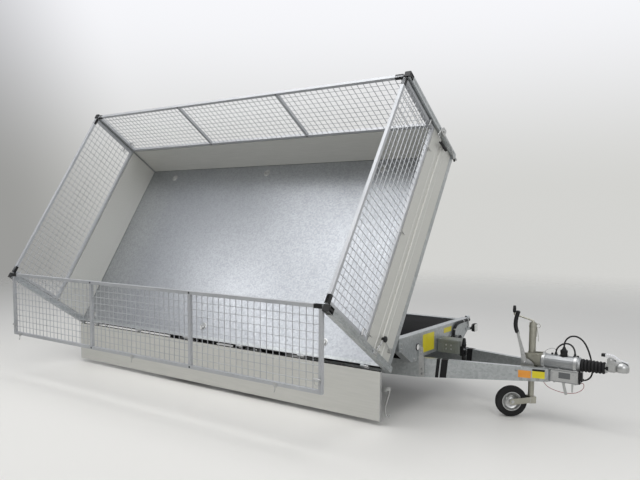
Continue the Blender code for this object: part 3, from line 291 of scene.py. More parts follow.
LAMP_RED = lens_look("red_lens", (0.3, 0.008, 0.008), (0.5, 0.03, 0.025), (0.22, 0.12))
LAMP_AMBER = lens_look("amber_lens", (0.6, 0.16, 0.01), (0.8, 0.3, 0.03), (0.22, 0.12))
LAMP_CLEAR = lens_look("clear_lens", (0.62, 0.62, 0.6), (0.85, 0.85, 0.82), (0.2, 0.1))
LABEL_YELLOW = label_look("yellow_label", (0.62, 0.52, 0.015), (0.74, 0.64, 0.03), (0.4, 0.3), 0.0)
LABEL_ORANGE = label_look("orange_label", (0.7, 0.26, 0.03), (0.86, 0.38, 0.07), (0.4, 0.3), 0.0)
LABEL_GREY = label_look("grey_plate", (0.1, 0.105, 0.11), (0.17, 0.175, 0.18), (0.4, 0.28), 0.4)
WIRE_RED = finish("red_cable", (0.22, 0.05, 0.05), (0.42, 0.12, 0.11), (0.5, 0.36), 0.1,
                  (30.0, 0.5), (500.0, 0.5), bump=0.0001)


# Drawing tools

def spot(axis, a, b, level):
    """A point of an outline that is extruded along an axis."""
    return {"X": (level, a, b), "Y": (a, level, b), "Z": (a, b, level)}[axis]


class Form:
    """The mesh of one piece while it is drawn."""

    def __init__(self):
        self.bm = bmesh.new()

    def prism(self, axis, outline, low, high):
        """Extrudes an outline: (y, z) points along X, (x, z) along Y or (x, y) along Z."""
        rings = [[self.bm.verts.new(spot(axis, a, b, level)) for a, b in outline] for level in (low, high)]
        faces = [self.bm.faces.new(ring) for ring in rings]
        self.join(rings, faces)
        return self

    def join(self, rings, faces, pairs=((0, 1),)):
        """Walls between rings of points, then all the faces are turned outward."""
        count = len(rings[0])
        for one, two in pairs:
            for i in range(count):
                j = (i + 1) % count
                faces.append(self.bm.faces.new((rings[one][i], rings[one][j], rings[two][j], rings[two][i])))
        bmesh.ops.recalc_face_normals(self.bm, faces=faces)

    def sleeve(self, axis, outer, inner, low, high):
        """Extrudes the band between two outlines with as many points each."""
        rings = [[self.bm.verts.new(spot(axis, a, b, level)) for a, b in outline]
                 for outline in (outer, inner) for level in (low, high)]
        self.join(rings, [], ((0, 1), (1, 3), (3, 2), (2, 0)))
        return self

    def box(self, x, y, z):
        """A box from three pairs of ends, in any order."""
        x, y, z = sorted(x), sorted(y), sorted(z)
        return self.prism("X", ((y[0], z[0]), (y[1], z[0]), (y[1], z[1]), (y[0], z[1])), x[0], x[1])

    def tube(self, path, radius, sides, flat=1.0):
        """A round bar along a list of points; radius is one number or one for each point.

        flat below 1 squeezes the section across its second direction."""
        spots = [Vector(p) for p in path]
        radii = [radius] * len(spots) if isinstance(radius, (int, float)) else radius
        side = None
        rows = []
        for i, point in enumerate(spots):
            heading = (spots[min(i + 1, len(spots) - 1)] - spots[max(i - 1, 0)]).normalized()
            if side is None:
                side = heading.orthogonal().normalized()
            side = (side - heading * side.dot(heading)).normalized()
            other = heading.cross(side) * flat
            row = []
            for k in range(sides):
                angle = 2 * math.pi * k / sides
                out = side * math.cos(angle) + other * math.sin(angle)
                row.append(self.bm.verts.new(point + out * radii[i]))
            rows.append(row)
        faces = [self.bm.faces.new(rows[0]), self.bm.faces.new(rows[-1])]
        self.join(rows, faces, [(i, i + 1) for i in range(len(rows) - 1)])
        return self

    def loop(self, centre, radius, wire, axis="Y"):
        """A closed ring of wire round an axis."""
        sides, steps = 8, 20
        angles = [2 * math.pi * k / sides for k in range(sides)]
        section = [(wire * math.sin(a), radius + wire * math.cos(a)) for a in angles]
        return self.turned(section, centre, axis, steps, True)

    def turned(self, profile, centre, axis, sides, ring=False):
        """Turns (along, radius) points about an axis through a centre; ring closes the profile on itself."""
        frames = {"X": ((1, 0, 0), (0, 1, 0), (0, 0, 1)), "Y": ((0, 1, 0), (0, 0, 1), (1, 0, 0)),
                  "Z": ((0, 0, 1), (1, 0, 0), (0, 1, 0))}
        if isinstance(axis, str):
            along, first, second = (Vector(v) for v in frames[axis])
        else:
            along = Vector(axis).normalized()
            first = along.orthogonal().normalized()
            second = along.cross(first)
        rows = []
        for distance, radius in profile:
            base = Vector(centre) + along * distance
            if radius < 1e-6:
                rows.append([self.bm.verts.new(base)])
                continue
            angles = [2 * math.pi * k / sides for k in range(sides)]
            rows.append([self.bm.verts.new(base + (first * math.cos(a) + second * math.sin(a)) * radius)
                         for a in angles])
        pairs = list(zip(rows, rows[1:]))
        if ring:
            pairs.append((rows[-1], rows[0]))
        faces = []
        for one, two in pairs:
            for k in range(sides):
                n = (k + 1) % sides
                corners = [one[k % len(one)], one[n % len(one)], two[n % len(two)], two[k % len(two)]]
                unique = list(dict.fromkeys(corners))
                if len(unique) > 2:
                    faces.append(self.bm.faces.new(unique))
        if not ring:
            faces += [self.bm.faces.new(row) for row in (rows[0], rows[-1]) if len(row) > 1]
        bmesh.ops.recalc_face_normals(self.bm, faces=faces)
        return self

    def knob(self, profile, centre, axis, sides):
        """A turned solid whose ends are flat: the profile's end points are joined to the axis."""
        return self.turned([(profile[0][0], 0.0), *profile, (profile[-1][0], 0.0)], centre, axis, sides)

    def disc(self, centre, axis, low, high, radius, sides):
        """A flat round or, with six sides, hexagonal disc."""
        return self.knob(((low, radius), (high, radius)), centre, axis, sides)

    def band(self, centre, axis, low, high, inner, outer, sides):
        """A flat ring round an axis."""
        section = ((low, inner), (low, outer), (high, outer), (high, inner))
        return self.turned(section, centre, axis, sides, True)

    def slab(self, place, outline, near, far):
        """Extrudes an (x, z) outline along Y in a placement of its own."""
        rings = [[self.bm.verts.new(place @ Vector((a, y, b))) for a, b in outline] for y in (near, far)]
        self.join(rings, [self.bm.faces.new(ring) for ring in rings])

    def rod(self, start, end, radius, sides=16):
        """A straight round bar between two points."""
        return self.tube((start, end), radius, sides)

    def bolt(self, point, normal, size):
        """A washer and a hexagon head that face along a normal."""
        self.disc(point, normal, -0.002, 0.0015, size * 1.25, 16)
        return self.knob(((0.0, size), (size * 0.8, size), (size * 0.95, size * 0.8)), point, normal, 6)

    def stud(self, point, normal, size=0.007):
        """A low round rivet head."""
        return self.turned(((-0.001, 0.0), (-0.001, size), (size * 0.2, size), (size * 0.45, size * 0.6),
                            (size * 0.5, 0.0)), point, normal, 14)

    def bead(self, start, end, radius):
        """A rippled weld between two points."""
        start, end = Vector(start), Vector(end)
        count = max(3, round((end - start).length / 0.005))
        path = [start.lerp(end, k / count) for k in range(count + 1)]
        return self.tube(path, [radius * (1.0 if k % 2 else 0.78) for k in range(count + 1)], 8)

    def move(self, matrix):
        """Carries everything drawn so far."""
        bmesh.ops.transform(self.bm, matrix=matrix, verts=self.bm.verts)
        if matrix.determinant() < 0:
            bmesh.ops.reverse_faces(self.bm, faces=self.bm.faces)
        return self


def soften(item, bevel):
    """Rounds the edges of a piece with a bevel that keeps its flats flat."""
    change = item.modifiers.new("edges", "BEVEL")
    change.width = bevel
    change.segments = 2
    change.limit_method = "ANGLE"
    change.angle_limit = math.radians(35)
    change.harden_normals = True
    change.use_clamp_overlap = True


def piece(name, form, look, body, place, replaces=(), bevel=0.0, sharp=40):
    """Makes an object of a drawn form, puts it in place and lets it ride on its body."""
    mesh = bpy.data.meshes.new(name)
    form.bm.to_mesh(mesh)
    form.bm.free()
    mesh.materials.append(look)
    mesh.shade_smooth()
    if not bevel:
        mesh.set_sharp_from_angle(angle=math.radians(sharp))
    made = bpy.data.objects.new(name, mesh)
    bpy.context.collection.objects.link(made)
    made.matrix_world = place
    if bevel:
        soften(made, bevel)
    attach(made, body)
    if replaces:
        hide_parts(*replaces)
    return made


def fixed(name, form, look, replaces=(), bevel=0.0, sharp=40):
    """A piece of the chassis."""
    return piece(name, form, look, "chassis", CHASSIS, replaces, bevel, sharp)


def dress(node, look, bevel=0.0):
    """Gives a CAD node its finish and rounded edges."""
    item = frame["nodes"][node]
    if not item.material_slots:
        item.data.materials.append(look)
    for entry in item.material_slots:
        entry.material = look
    if bevel:
        soften(item, bevel)


def smooth_path(points, steps):
    """Catmull-Rom points through a short list of chosen points."""
    spots = [Vector(p) for p in points]
    spots = [spots[0] * 2 - spots[1]] + spots + [spots[-1] * 2 - spots[-2]]
    path = []
    for i in range(1, len(spots) - 2):
        a, b, c, d = spots[i - 1:i + 3]
        for k in range(steps):
            t = k / steps
            path.append(0.5 * (2 * b + (c - a) * t + (2 * a - 5 * b + 4 * c - d) * t * t
                               + (3 * b - a - 3 * c + d) * t ** 3))
    path.append(spots[-2])
    return path


def arc(centre, radius, start, end, count):
    """Points on an arc in degrees, both ends included."""
    turns = [math.radians(start + (end - start) * k / (count - 1)) for k in range(count)]
    return [(centre[0] + radius * math.cos(t), centre[1] + radius * math.sin(t)) for t in turns]


def rounded(u, v, radius):
    """Outline of a rectangle between two pairs of ends, with round corners."""
    (u0, u1), (v0, v1) = sorted(u), sorted(v)
    outline = []
    for cu, cv, start in ((u1 - radius, v1 - radius, 0), (u0 + radius, v1 - radius, 90),
                          (u0 + radius, v0 + radius, 180), (u1 - radius, v0 + radius, 270)):
        outline += arc((cu, cv), radius, start, start + 90, CORNER_STEPS)
    return outline


def drawbar_half(x):
    """Distance from the centreline to the drawbar rail's outer face at x."""
    return DRAWBAR_FRONT_HALF + DRAWBAR_SLOPE * (DRAWBAR_FRONT_X - x)


def rail_face(x, side):
    """A frame on a drawbar rail's outer face at x: X runs along the rail and -side * Y points inward."""
    return (Matrix.Translation((x, side * drawbar_half(x), 0.0))
            @ Matrix.Rotation(-side * math.atan(DRAWBAR_SLOPE), 4, "Z"))


# Camera, lamps and stage

def make_camera():
    """The photograph's viewpoint."""
    camera = bpy.data.objects.new("camera", bpy.data.cameras.new("camera"))
    bpy.context.collection.objects.link(camera)
    place, tilt, heading = (5.507, -4.919, 1.456), -4.73, 38.37
    camera.location = Vector(place) + SHIFT
    camera.rotation_euler = (math.radians(90 + tilt), 0.0, math.radians(heading))
    camera.data.lens = 38.4
    camera.data.sensor_width = 36.0
    camera.data.shift_x = 0.0836
    camera.data.shift_y = 0.0438
    bpy.context.scene.camera = camera


def area_lamp(name, place, target, size, power):
    """A white rectangular lamp turned toward a target."""
    data = bpy.data.lights.new(name, "AREA")
    data.shape = "RECTANGLE"
    data.size, data.size_y = size
    data.energy = power
    lamp = bpy.data.objects.new(name, data)
    bpy.context.collection.objects.link(lamp)
    lamp.location = place
    lamp.rotation_euler = (Vector(target) - Vector(place)).to_track_quat("-Z", "Y").to_euler()


def make_lamps():
    """A wide soft ceiling, a low key from the bed's side and a fill from the front."""
    area_lamp("overhead", (-0.2, -0.9, 5.2), (-0.1, -0.1, 0.5), (6.0, 4.5), 182.0)
    area_lamp("key", (-2.9, -2.7, 3.6), (-0.2, -0.75, 0.8), (2.6, 1.0), 24.0)
    area_lamp("front", (5.2, -3.0, 2.6), (0.8, 0.0, 0.6), (2.4, 2.4), 50.0)


def larger(tree, one, two):
    """The larger of two values."""
    node = tree.nodes.new("ShaderNodeMath")
    node.operation = "MAXIMUM"
    link(tree, one, node.inputs[0])
    link(tree, two, node.inputs[1])
    return node.outputs[0]


def blended(tree, share, one, two, output):
    """A share of one shader over another, sent to an output."""
    mixed = tree.nodes.new("ShaderNodeMixShader")
    link(tree, share, mixed.inputs["Fac"])
    link(tree, one, mixed.inputs[1])
    link(tree, two, mixed.inputs[2])
    link(tree, mixed.outputs[0], output.inputs["Surface"])


def make_world():
    """Pale surroundings, seen by the camera and in reflections: brighter upward, darker to the left."""
    world = bpy.data.worlds.new("studio")
    bpy.context.scene.world = world
    world.use_nodes = True
    tree = world.node_tree
    tree.nodes.clear()
    output = tree.nodes.new("ShaderNodeOutputWorld")
    coords = tree.nodes.new("ShaderNodeTexCoord").outputs["Generated"]
    split = tree.nodes.new("ShaderNodeSeparateXYZ")
    link(tree, coords, split.inputs["Vector"])
    tones = tree.nodes.new("ShaderNodeValToRGB")
    tones.color_ramp.interpolation = "EASE"
    for stop, height, colour in zip(tones.color_ramp.elements, (0.02, 0.3),
                                    ((0.655, 0.655, 0.635, 1.0), (0.93, 0.935, 0.965, 1.0))):
        stop.position = height
        stop.color = colour
    link(tree, split.outputs["Z"], tones.inputs["Fac"])
    leftward = tree.nodes.new("ShaderNodeVectorMath")
    leftward.operation = "DOT_PRODUCT"
    link(tree, coords, leftward.inputs[0])
    leftward.inputs[1].default_value = (-0.784, -0.62, -0.3)
    shade = tree.nodes.new("ShaderNodeVectorMath")
    shade.operation = "SCALE"
    link(tree, tones.outputs["Color"], shade.inputs[0])
    dimmed = larger(tree, ranged(tree, leftward.outputs["Value"], 1.0, 0.5, 0.13, 0.36, "SMOOTHSTEP"),
                    ranged(tree, split.outputs["Z"], 0.5, 0.72, 0.42, 0.62))
    link(tree, dimmed, shade.inputs["Scale"])
    seen = tree.nodes.new("ShaderNodeBackground")
    link(tree, shade.outputs["Vector"], seen.inputs["Color"])
    light = tree.nodes.new("ShaderNodeBackground")
    light.inputs["Color"].default_value = (0.94, 0.97, 1.0, 1.0)
    light.inputs["Strength"].default_value = 0.5
    rays = tree.nodes.new("ShaderNodeLightPath")
    straight = larger(tree, rays.outputs["Is Camera Ray"], rays.outputs["Is Transmission Ray"])
    shown = larger(tree, straight, rays.outputs["Is Glossy Ray"])
    blended(tree, shown, light.outputs[0], seen.outputs[0], output)


def make_stage():
    """A pale floor that fades into the surroundings."""
    reach, fade_start, fade_end = 14.0, 4.5, 13.0
    form = Form()
    form.bm.faces.new([form.bm.verts.new((x, y, 0.0)) for x, y in arc((0.0, 0.0), reach, 0, 356.25, 96)])
    mesh = bpy.data.meshes.new("stage_floor")
    form.bm.to_mesh(mesh)
    form.bm.free()
    floor = bpy.data.objects.new("stage_floor", mesh)
    bpy.context.collection.objects.link(floor)
    look = bpy.data.materials.new("pale_floor")
    look.use_nodes = True
    tree = look.node_tree
    shader = tree.nodes["Principled BSDF"]
    shader.inputs["Base Color"].default_value = (0.755, 0.74, 0.71, 1.0)
    shader.inputs["Roughness"].default_value = 0.55
    coords = tree.nodes.new("ShaderNodeTexCoord").outputs["Object"]
    length = tree.nodes.new("ShaderNodeVectorMath")
    length.operation = "LENGTH"
    link(tree, coords, length.inputs[0])
    fade = ranged(tree, length.outputs["Value"], 0.0, 1.0, fade_start, fade_end, "SMOOTHSTEP")
    clear = tree.nodes.new("ShaderNodeBsdfTransparent")
    blended(tree, fade, shader.outputs[0], clear.outputs[0], tree.nodes["Material Output"])
    mesh.materials.append(look)


# Cables: the routes of the part's own cable solids, in the flat trailer's frame

PLUG_CABLE = ((4.232, 0.0, 0.5264), (4.232, 0.0, 0.54), (4.236, 0.001, 0.561), (4.25, 0.004, 0.585),
              (4.275, 0.009, 0.602), (4.307, 0.018, 0.602), (4.337, 0.031, 0.582), (4.361, 0.045, 0.545),
              (4.378, 0.057, 0.498), (4.391, 0.066, 0.448), (4.4, 0.071, 0.4), (4.402, 0.07, 0.358),
              (4.394, 0.062, 0.327), (4.378, 0.05, 0.309), (4.3625, 0.0425, 0.303), (4.354, 0.041, 0.303),
              (4.3455, 0.041, 0.303))
ARCH_CABLE = ((4.18, 0.0, 0.4665), (4.18, 0.0, 0.476), (4.18, 0.0, 0.484), (4.1845, 0.0046, 0.5065),
              (4.1982, 0.0165, 0.5264), (4.2188, 0.0284, 0.5396), (4.242, 0.033, 0.544),
              (4.2652, 0.0284, 0.5396), (4.2858, 0.0165, 0.5264), (4.2995, 0.0046, 0.5065),
              (4.304, 0.0, 0.484), (4.304, 0.0, 0.476), (4.304, 0.0, 0.4665))
BREAKAWAY = ((4.11, -0.03, 0.2896), (4.11, -0.03, 0.28), (4.11, -0.03, 0.27), (4.14, -0.033, 0.24),
             (4.19, -0.036, 0.222), (4.25, -0.038, 0.214), (4.31, -0.038, 0.22), (4.352, -0.036, 0.24),
             (4.374, -0.032, 0.268), (4.372, -0.03, 0.292), (4.362, -0.03, 0.296), (4.354, -0.03, 0.296),
             (4.3454, -0.03, 0.296))
CABLE_RADIUS = 0.0055
ROPE_RADIUS = 0.002
HOSE_RADIUS = 0.0108
HOSE_X = 3.3115


def cable(name, route, radius, look):
    """A free cable along its route."""
    path = [point + SHIFT for point in smooth_path(route, 3)]
    form = Form().tube(path, radius, 14)
    made = piece(name + "_skin", form, look, "chassis", Matrix.Identity(4), (name,))


def make_plug():
    """The trailer plug, parked in its holder on the housing."""
    centre = Vector(PLUG_CABLE[0])
    base = HOUSING_TOP + GAP
    profile = ((0.0, 0.0), (0.0, 0.0235), (0.01, 0.024), (0.012, 0.022), (0.016, 0.022), (0.018, 0.024),
               (0.036, 0.024), (0.038, 0.0175), (0.043, 0.016), (0.045, 0.0125), (0.048, 0.0125),
               (0.05, 0.0105), (0.053, 0.0115), (0.055, 0.009), (0.0597, 0.0085), (0.0597, 0.0))
    form = Form().turned(profile, (centre.x, 0.0, base), "Z", 32)
    ribs = 10
    for k in range(ribs):
        angle = 2 * math.pi * k / ribs
        out = Vector((math.cos(angle), math.sin(angle), 0.0))
        foot = Vector((centre.x, 0.0, base + 0.02)) + out * 0.0232
        form.rod(foot, foot + Vector((0.0, 0.0, 0.014)), 0.0016, 8)
    return fixed("parked_plug_body", form, PLASTIC, ("parked_plug",))


make_camera()
make_lamps()
make_world()
make_stage()
plug = make_plug()
cable("plug_cable", PLUG_CABLE, CABLE_RADIUS, RUBBER)
cable("arch_cable", ARCH_CABLE, CABLE_RADIUS, RUBBER)
cable("breakaway_cable", BREAKAWAY, ROPE_RADIUS, WIRE_RED)


# Cage

def make_mesh_panel(name, length, bays, local, place, body):
    """Tube frame with welded wires, hooks and sleeves, in x from 0 to length and z up to the cage's top."""
    low, high = MESH_BOTTOM, CAGE_HEIGHT
    half = MESH_TUBE / 2
    tubes = Form()
    for z in (low, high - MESH_TUBE):
        tubes.box((0.0, length), (-half, half), (z, z + MESH_TUBE))
    bay = (length - MESH_TUBE) / bays
    uprights = [bay * k for k in range(bays + 1)]
    for x in uprights:
        tubes.box((x, x + MESH_TUBE), (-half, half), (low + MESH_TUBE, high - MESH_TUBE))
    for x, out in ((0.0, -1), (length, 1)):
        tubes.rod((x - out * 0.005, 0.0, TUBE_LINE), (x + out * 0.0067, 0.0, TUBE_LINE), 0.006, 16)
    tubes.move(local)
    piece(name + "_frame", tubes, MESH_STEEL, body, place, (name,), 0.0018)
    sleeves = Form()
    for x, inward in ((0.0, 1), (length, -1)):
        sleeves.box((x + inward * 0.0006, x + inward * 0.062), (-half - 0.0012, half + 0.0012),
                    (TUBE_LINE - half - 0.0012, TUBE_LINE + half))
    sleeves.move(local)
    piece(name + "_sleeves", sleeves, PLASTIC, body, place, bevel=0.001)
    wires = Form()
    for k in range(bays):
        start, end = uprights[k] + MESH_TUBE - WIRE_BITE, uprights[k + 1] + WIRE_BITE
        count = round((end - start) / WIRE_PITCH)
        for n in range(1, count):
            x = start + (end - start) * n / count
            wires.rod((x, WIRE_RADIUS, low + MESH_TUBE - WIRE_BITE),
                      (x, WIRE_RADIUS, high - MESH_TUBE + WIRE_BITE), WIRE_RADIUS, 6)
        levels = round((high - low - 2 * MESH_TUBE) / WIRE_PITCH)
        for n in range(1, levels):
            z = low + MESH_TUBE + (high - low - 2 * MESH_TUBE) * n / levels
            wires.rod((start, -WIRE_RADIUS, z), (end, -WIRE_RADIUS, z), WIRE_RADIUS, 6)
    wires.move(local)
    piece(name + "_wires", wires, MESH_STEEL, body, place, sharp=60)
    if bays > 1:
        studs = Form()
        for x in uprights[1:-1]:
            for z in (low + half, high - half):
                for out in (-1, 1):
                    studs.stud((x + half, out * half, z), (0.0, out, 0.0))
        studs.move(local)
        piece(name + "_rivets", studs, PLASTIC, body, place)
    fittings = Form()
    for share in HOOK_SHARES:
        x = length * share
        fittings.box((x - 0.015, x + 0.015), (-half, -half - 0.004), (low - 0.006, low + 0.02))
        fittings.tube(((x, -half - 0.0045, low + 0.004), (x, -half - 0.0045, low - 0.022),
                       (x, -half - 0.006, low - 0.034), (x, -half - 0.0095, low - 0.038),
                       (x, -half - 0.0118, low - 0.03)), 0.003, 8)
        fittings.bolt((x, -half - 0.004, low + 0.011), RIGHTWARD, 0.004)
    for x, inward in ((0.0, 1), (length, -1)):
        y, z = -half - 0.006, low + 0.09
        fittings.rod((x + inward * 0.002, y, z), (x + inward * 0.052, y, z), 0.007, 14)
        fittings.loop((x + inward * 0.03, y, z - 0.02), 0.018, 0.002)
    fittings.move(local)
    piece(name + "_hooks", fittings, ZINC, body, place)


def make_cage():
    """The four mesh panels, each drawn along x and carried to its side of the bed."""
    length = BED_LENGTH - 2 * PANEL_INSET
    for name, side in SIDES:
        turn = Matrix.Identity(4) if side < 0 else MIRROR_Y
        local = Matrix.Translation((PANEL_INSET, side * WALL_LINE, FLOOR_Z)) @ turn
        make_mesh_panel(f"mesh_side_{name}", length, 3, local, RIGHT_MESH if side < 0 else BED,
                        f"{name}_mesh")
    width = 2 * HALF_WIDTH - END_PANEL_PLAY
    for name, x, sign, body in (("rear", -BOARD_THICK / 2, 1, "rear_mesh"),
                                ("front", BED_LENGTH + BOARD_THICK / 2, -1, "bed")):
        turn = Matrix.Rotation(math.radians(-90 * sign), 4, "Z")
        local = Matrix.Translation((x, sign * width / 2, FLOOR_Z)) @ turn
        make_mesh_panel(f"mesh_{name}", width, 1, local, BED, body)


# Bed

def board_outline(height):
    """Section of a board as (out, up): smooth inside, with a V groove outside where two planks meet."""
    points = [(0.0, 0.0), (0.0, height), (BOARD_THICK, height)]
    for number in (2, 1):
        level = height * number / 3
        points += [(BOARD_THICK, level + PLANK_GROOVE), (BOARD_THICK - PLANK_GROOVE, level),
                   (BOARD_THICK, level - PLANK_GROOVE)]
    points.append((BOARD_THICK, 0.0))
    return points


def board_knuckle(form, at):
    """A board's half of a hinge, with its leaf up the outer face and a bolt through it."""
    face = OUTER_Y - 0.001
    at += KNUCKLE_LENGTH + 0.0004
    outline = [(face, FLOOR_Z + 0.005), (face, FLOOR_Z + 0.05), (face + 0.006, FLOOR_Z + 0.05),
               (face + 0.007, FLOOR_Z + 0.02)]
    outline += arc((HINGE_Y, HINGE_Z), KNUCKLE_RADIUS, 30, -180, 15)
    outline.append((HINGE_Y - KNUCKLE_RADIUS, FLOOR_Z + BOARD_LIFT))
    form.prism("X", outline, at, at + KNUCKLE_LENGTH)
    form.bolt((at + KNUCKLE_LENGTH / 2, face + 0.0055, FLOOR_Z + 0.036), LEFTWARD, 0.006)


def make_drop_side(name, length, hinges, local, place, body):
    """A drop side drawn along x on the +Y wall, then carried by local and placed."""
    panel = Form()
    inner_y, low = HALF_WIDTH + 0.0002, FLOOR_Z + BOARD_LIFT
    outline = [(inner_y + out * 0.99, low + up) for out, up in board_outline(SIDE_HEIGHT - BOARD_LIFT)]
    panel.prism("X", outline, 0.004, length - 0.004)
    panel.move(local)
    piece(name + "_panel", panel, ALUMINIUM, body, place, (name,), 0.0012)
    metal = Form()
    for x0, x1 in ((0.0, 0.004), (length - 0.004, length)):
        metal.box((x0, x1), (inner_y, OUTER_Y), (low, FLOOR_Z + SIDE_HEIGHT))
    for at in hinges:
        board_knuckle(metal, at)
    for x in (0.022, length - 0.022):
        metal.box((x - 0.016, x + 0.016), (OUTER_Y - 0.002, OUTER_Y + 0.004),
                  (FLOOR_Z + 0.25, FLOOR_Z + 0.325))
        for z in (0.265, 0.31):
            metal.bolt((x, OUTER_Y + 0.004, FLOOR_Z + z), LEFTWARD, 0.005)
    metal.move(local)
    piece(name + "_fittings", metal, ZINC, body, place, bevel=0.0006)


def make_boards():
    """Three drop sides and the fixed front board with its rib."""
    hinges = [x - PANEL_INSET for x in HINGES_X]
    for name, side in SIDES:
        turn = Matrix.Identity(4) if side > 0 else MIRROR_Y
        local = Matrix.Translation((PANEL_INSET, 0.0, 0.0)) @ turn
        make_drop_side(f"drop_side_{name}", BED_LENGTH - 2 * PANEL_INSET, hinges, local,
                       RIGHT_BOARD if side < 0 else BED, f"{name}_board")
    width = 2 * (HALF_WIDTH - PANEL_INSET)
    turn = Matrix.Rotation(math.radians(90), 4, "Z")
    local = Matrix.Translation((HALF_WIDTH, 0.0, 0.0)) @ turn @ Matrix.Translation((-width / 2, 0.0, 0.0))
    make_drop_side("drop_side_rear", width, [y + width / 2 for y in HINGES_Y], local, BED, "rear_board")
    panel = Form()
    outline = [(BED_LENGTH + END_GAP + out * 0.96, FLOOR_Z + up) for out, up in board_outline(SIDE_HEIGHT)]
    panel.prism("Y", outline, -HALF_WIDTH, HALF_WIDTH)
    x = BED_LENGTH + BOARD_THICK
    rib = ((-0.004, 0.15), (0.006, 0.15), (0.01, 0.154), (0.01, 0.181), (0.006, 0.185), (-0.004, 0.185))
    panel.prism("Y", [(x + out, FLOOR_Z + up) for out, up in rib], -HALF_WIDTH + 0.02, HALF_WIDTH - 0.02)
    piece("front_board_panel", panel, ALUMINIUM, "bed", BED, ("front_board",), 0.0012)


def make_posts():
    """Corner posts with a groove down each face, under plastic caps."""
    half = POST_SIZE / 2
    top = FLOOR_Z + CAGE_HEIGHT
    for end, out, x in (("rear", -1, -END_GAP - half), ("front", 1, BED_LENGTH + END_GAP + half)):
        for name, side in SIDES:
            y = side * (HALF_WIDTH + POST_GAP + half)
            outline = []
            for k in range(4):
                a = math.radians(90 * k)
                for u, v in ((half, -half), (half, -0.008), (half - 0.003, -0.006), (half - 0.003, 0.006),
                             (half, 0.008)):
                    outline.append((x + u * math.cos(a) - v * math.sin(a),
                                    y + u * math.sin(a) + v * math.cos(a)))
            post = Form().prism("Z", outline, FLOOR_Z, top - 0.008)
            for z in (0.03, SIDE_HEIGHT - 0.03):
                post.bolt((x, y + side * (half - 0.003), FLOOR_Z + z), (0.0, side, 0.0), 0.007)
            piece(f"post_{end}_{name}_tube", post, GALVANISED, "bed", BED, (f"post_{end}_{name}",), 0.0015)
            cap = Form().box((x - half, x + half), (y - half, y + half), (top - 0.01, top))
            cap.box((x - half, x + half), (y + side * half, y + side * (half - 0.003)),
                    (top - 0.06, top - 0.008))
            cap.box((x + out * half, x + out * (half - 0.003)), (y - half, y + half),
                    (top - 0.06, top - 0.008))
            piece(f"post_{end}_{name}_cap", cap, PLASTIC, "bed", BED, bevel=0.0015)


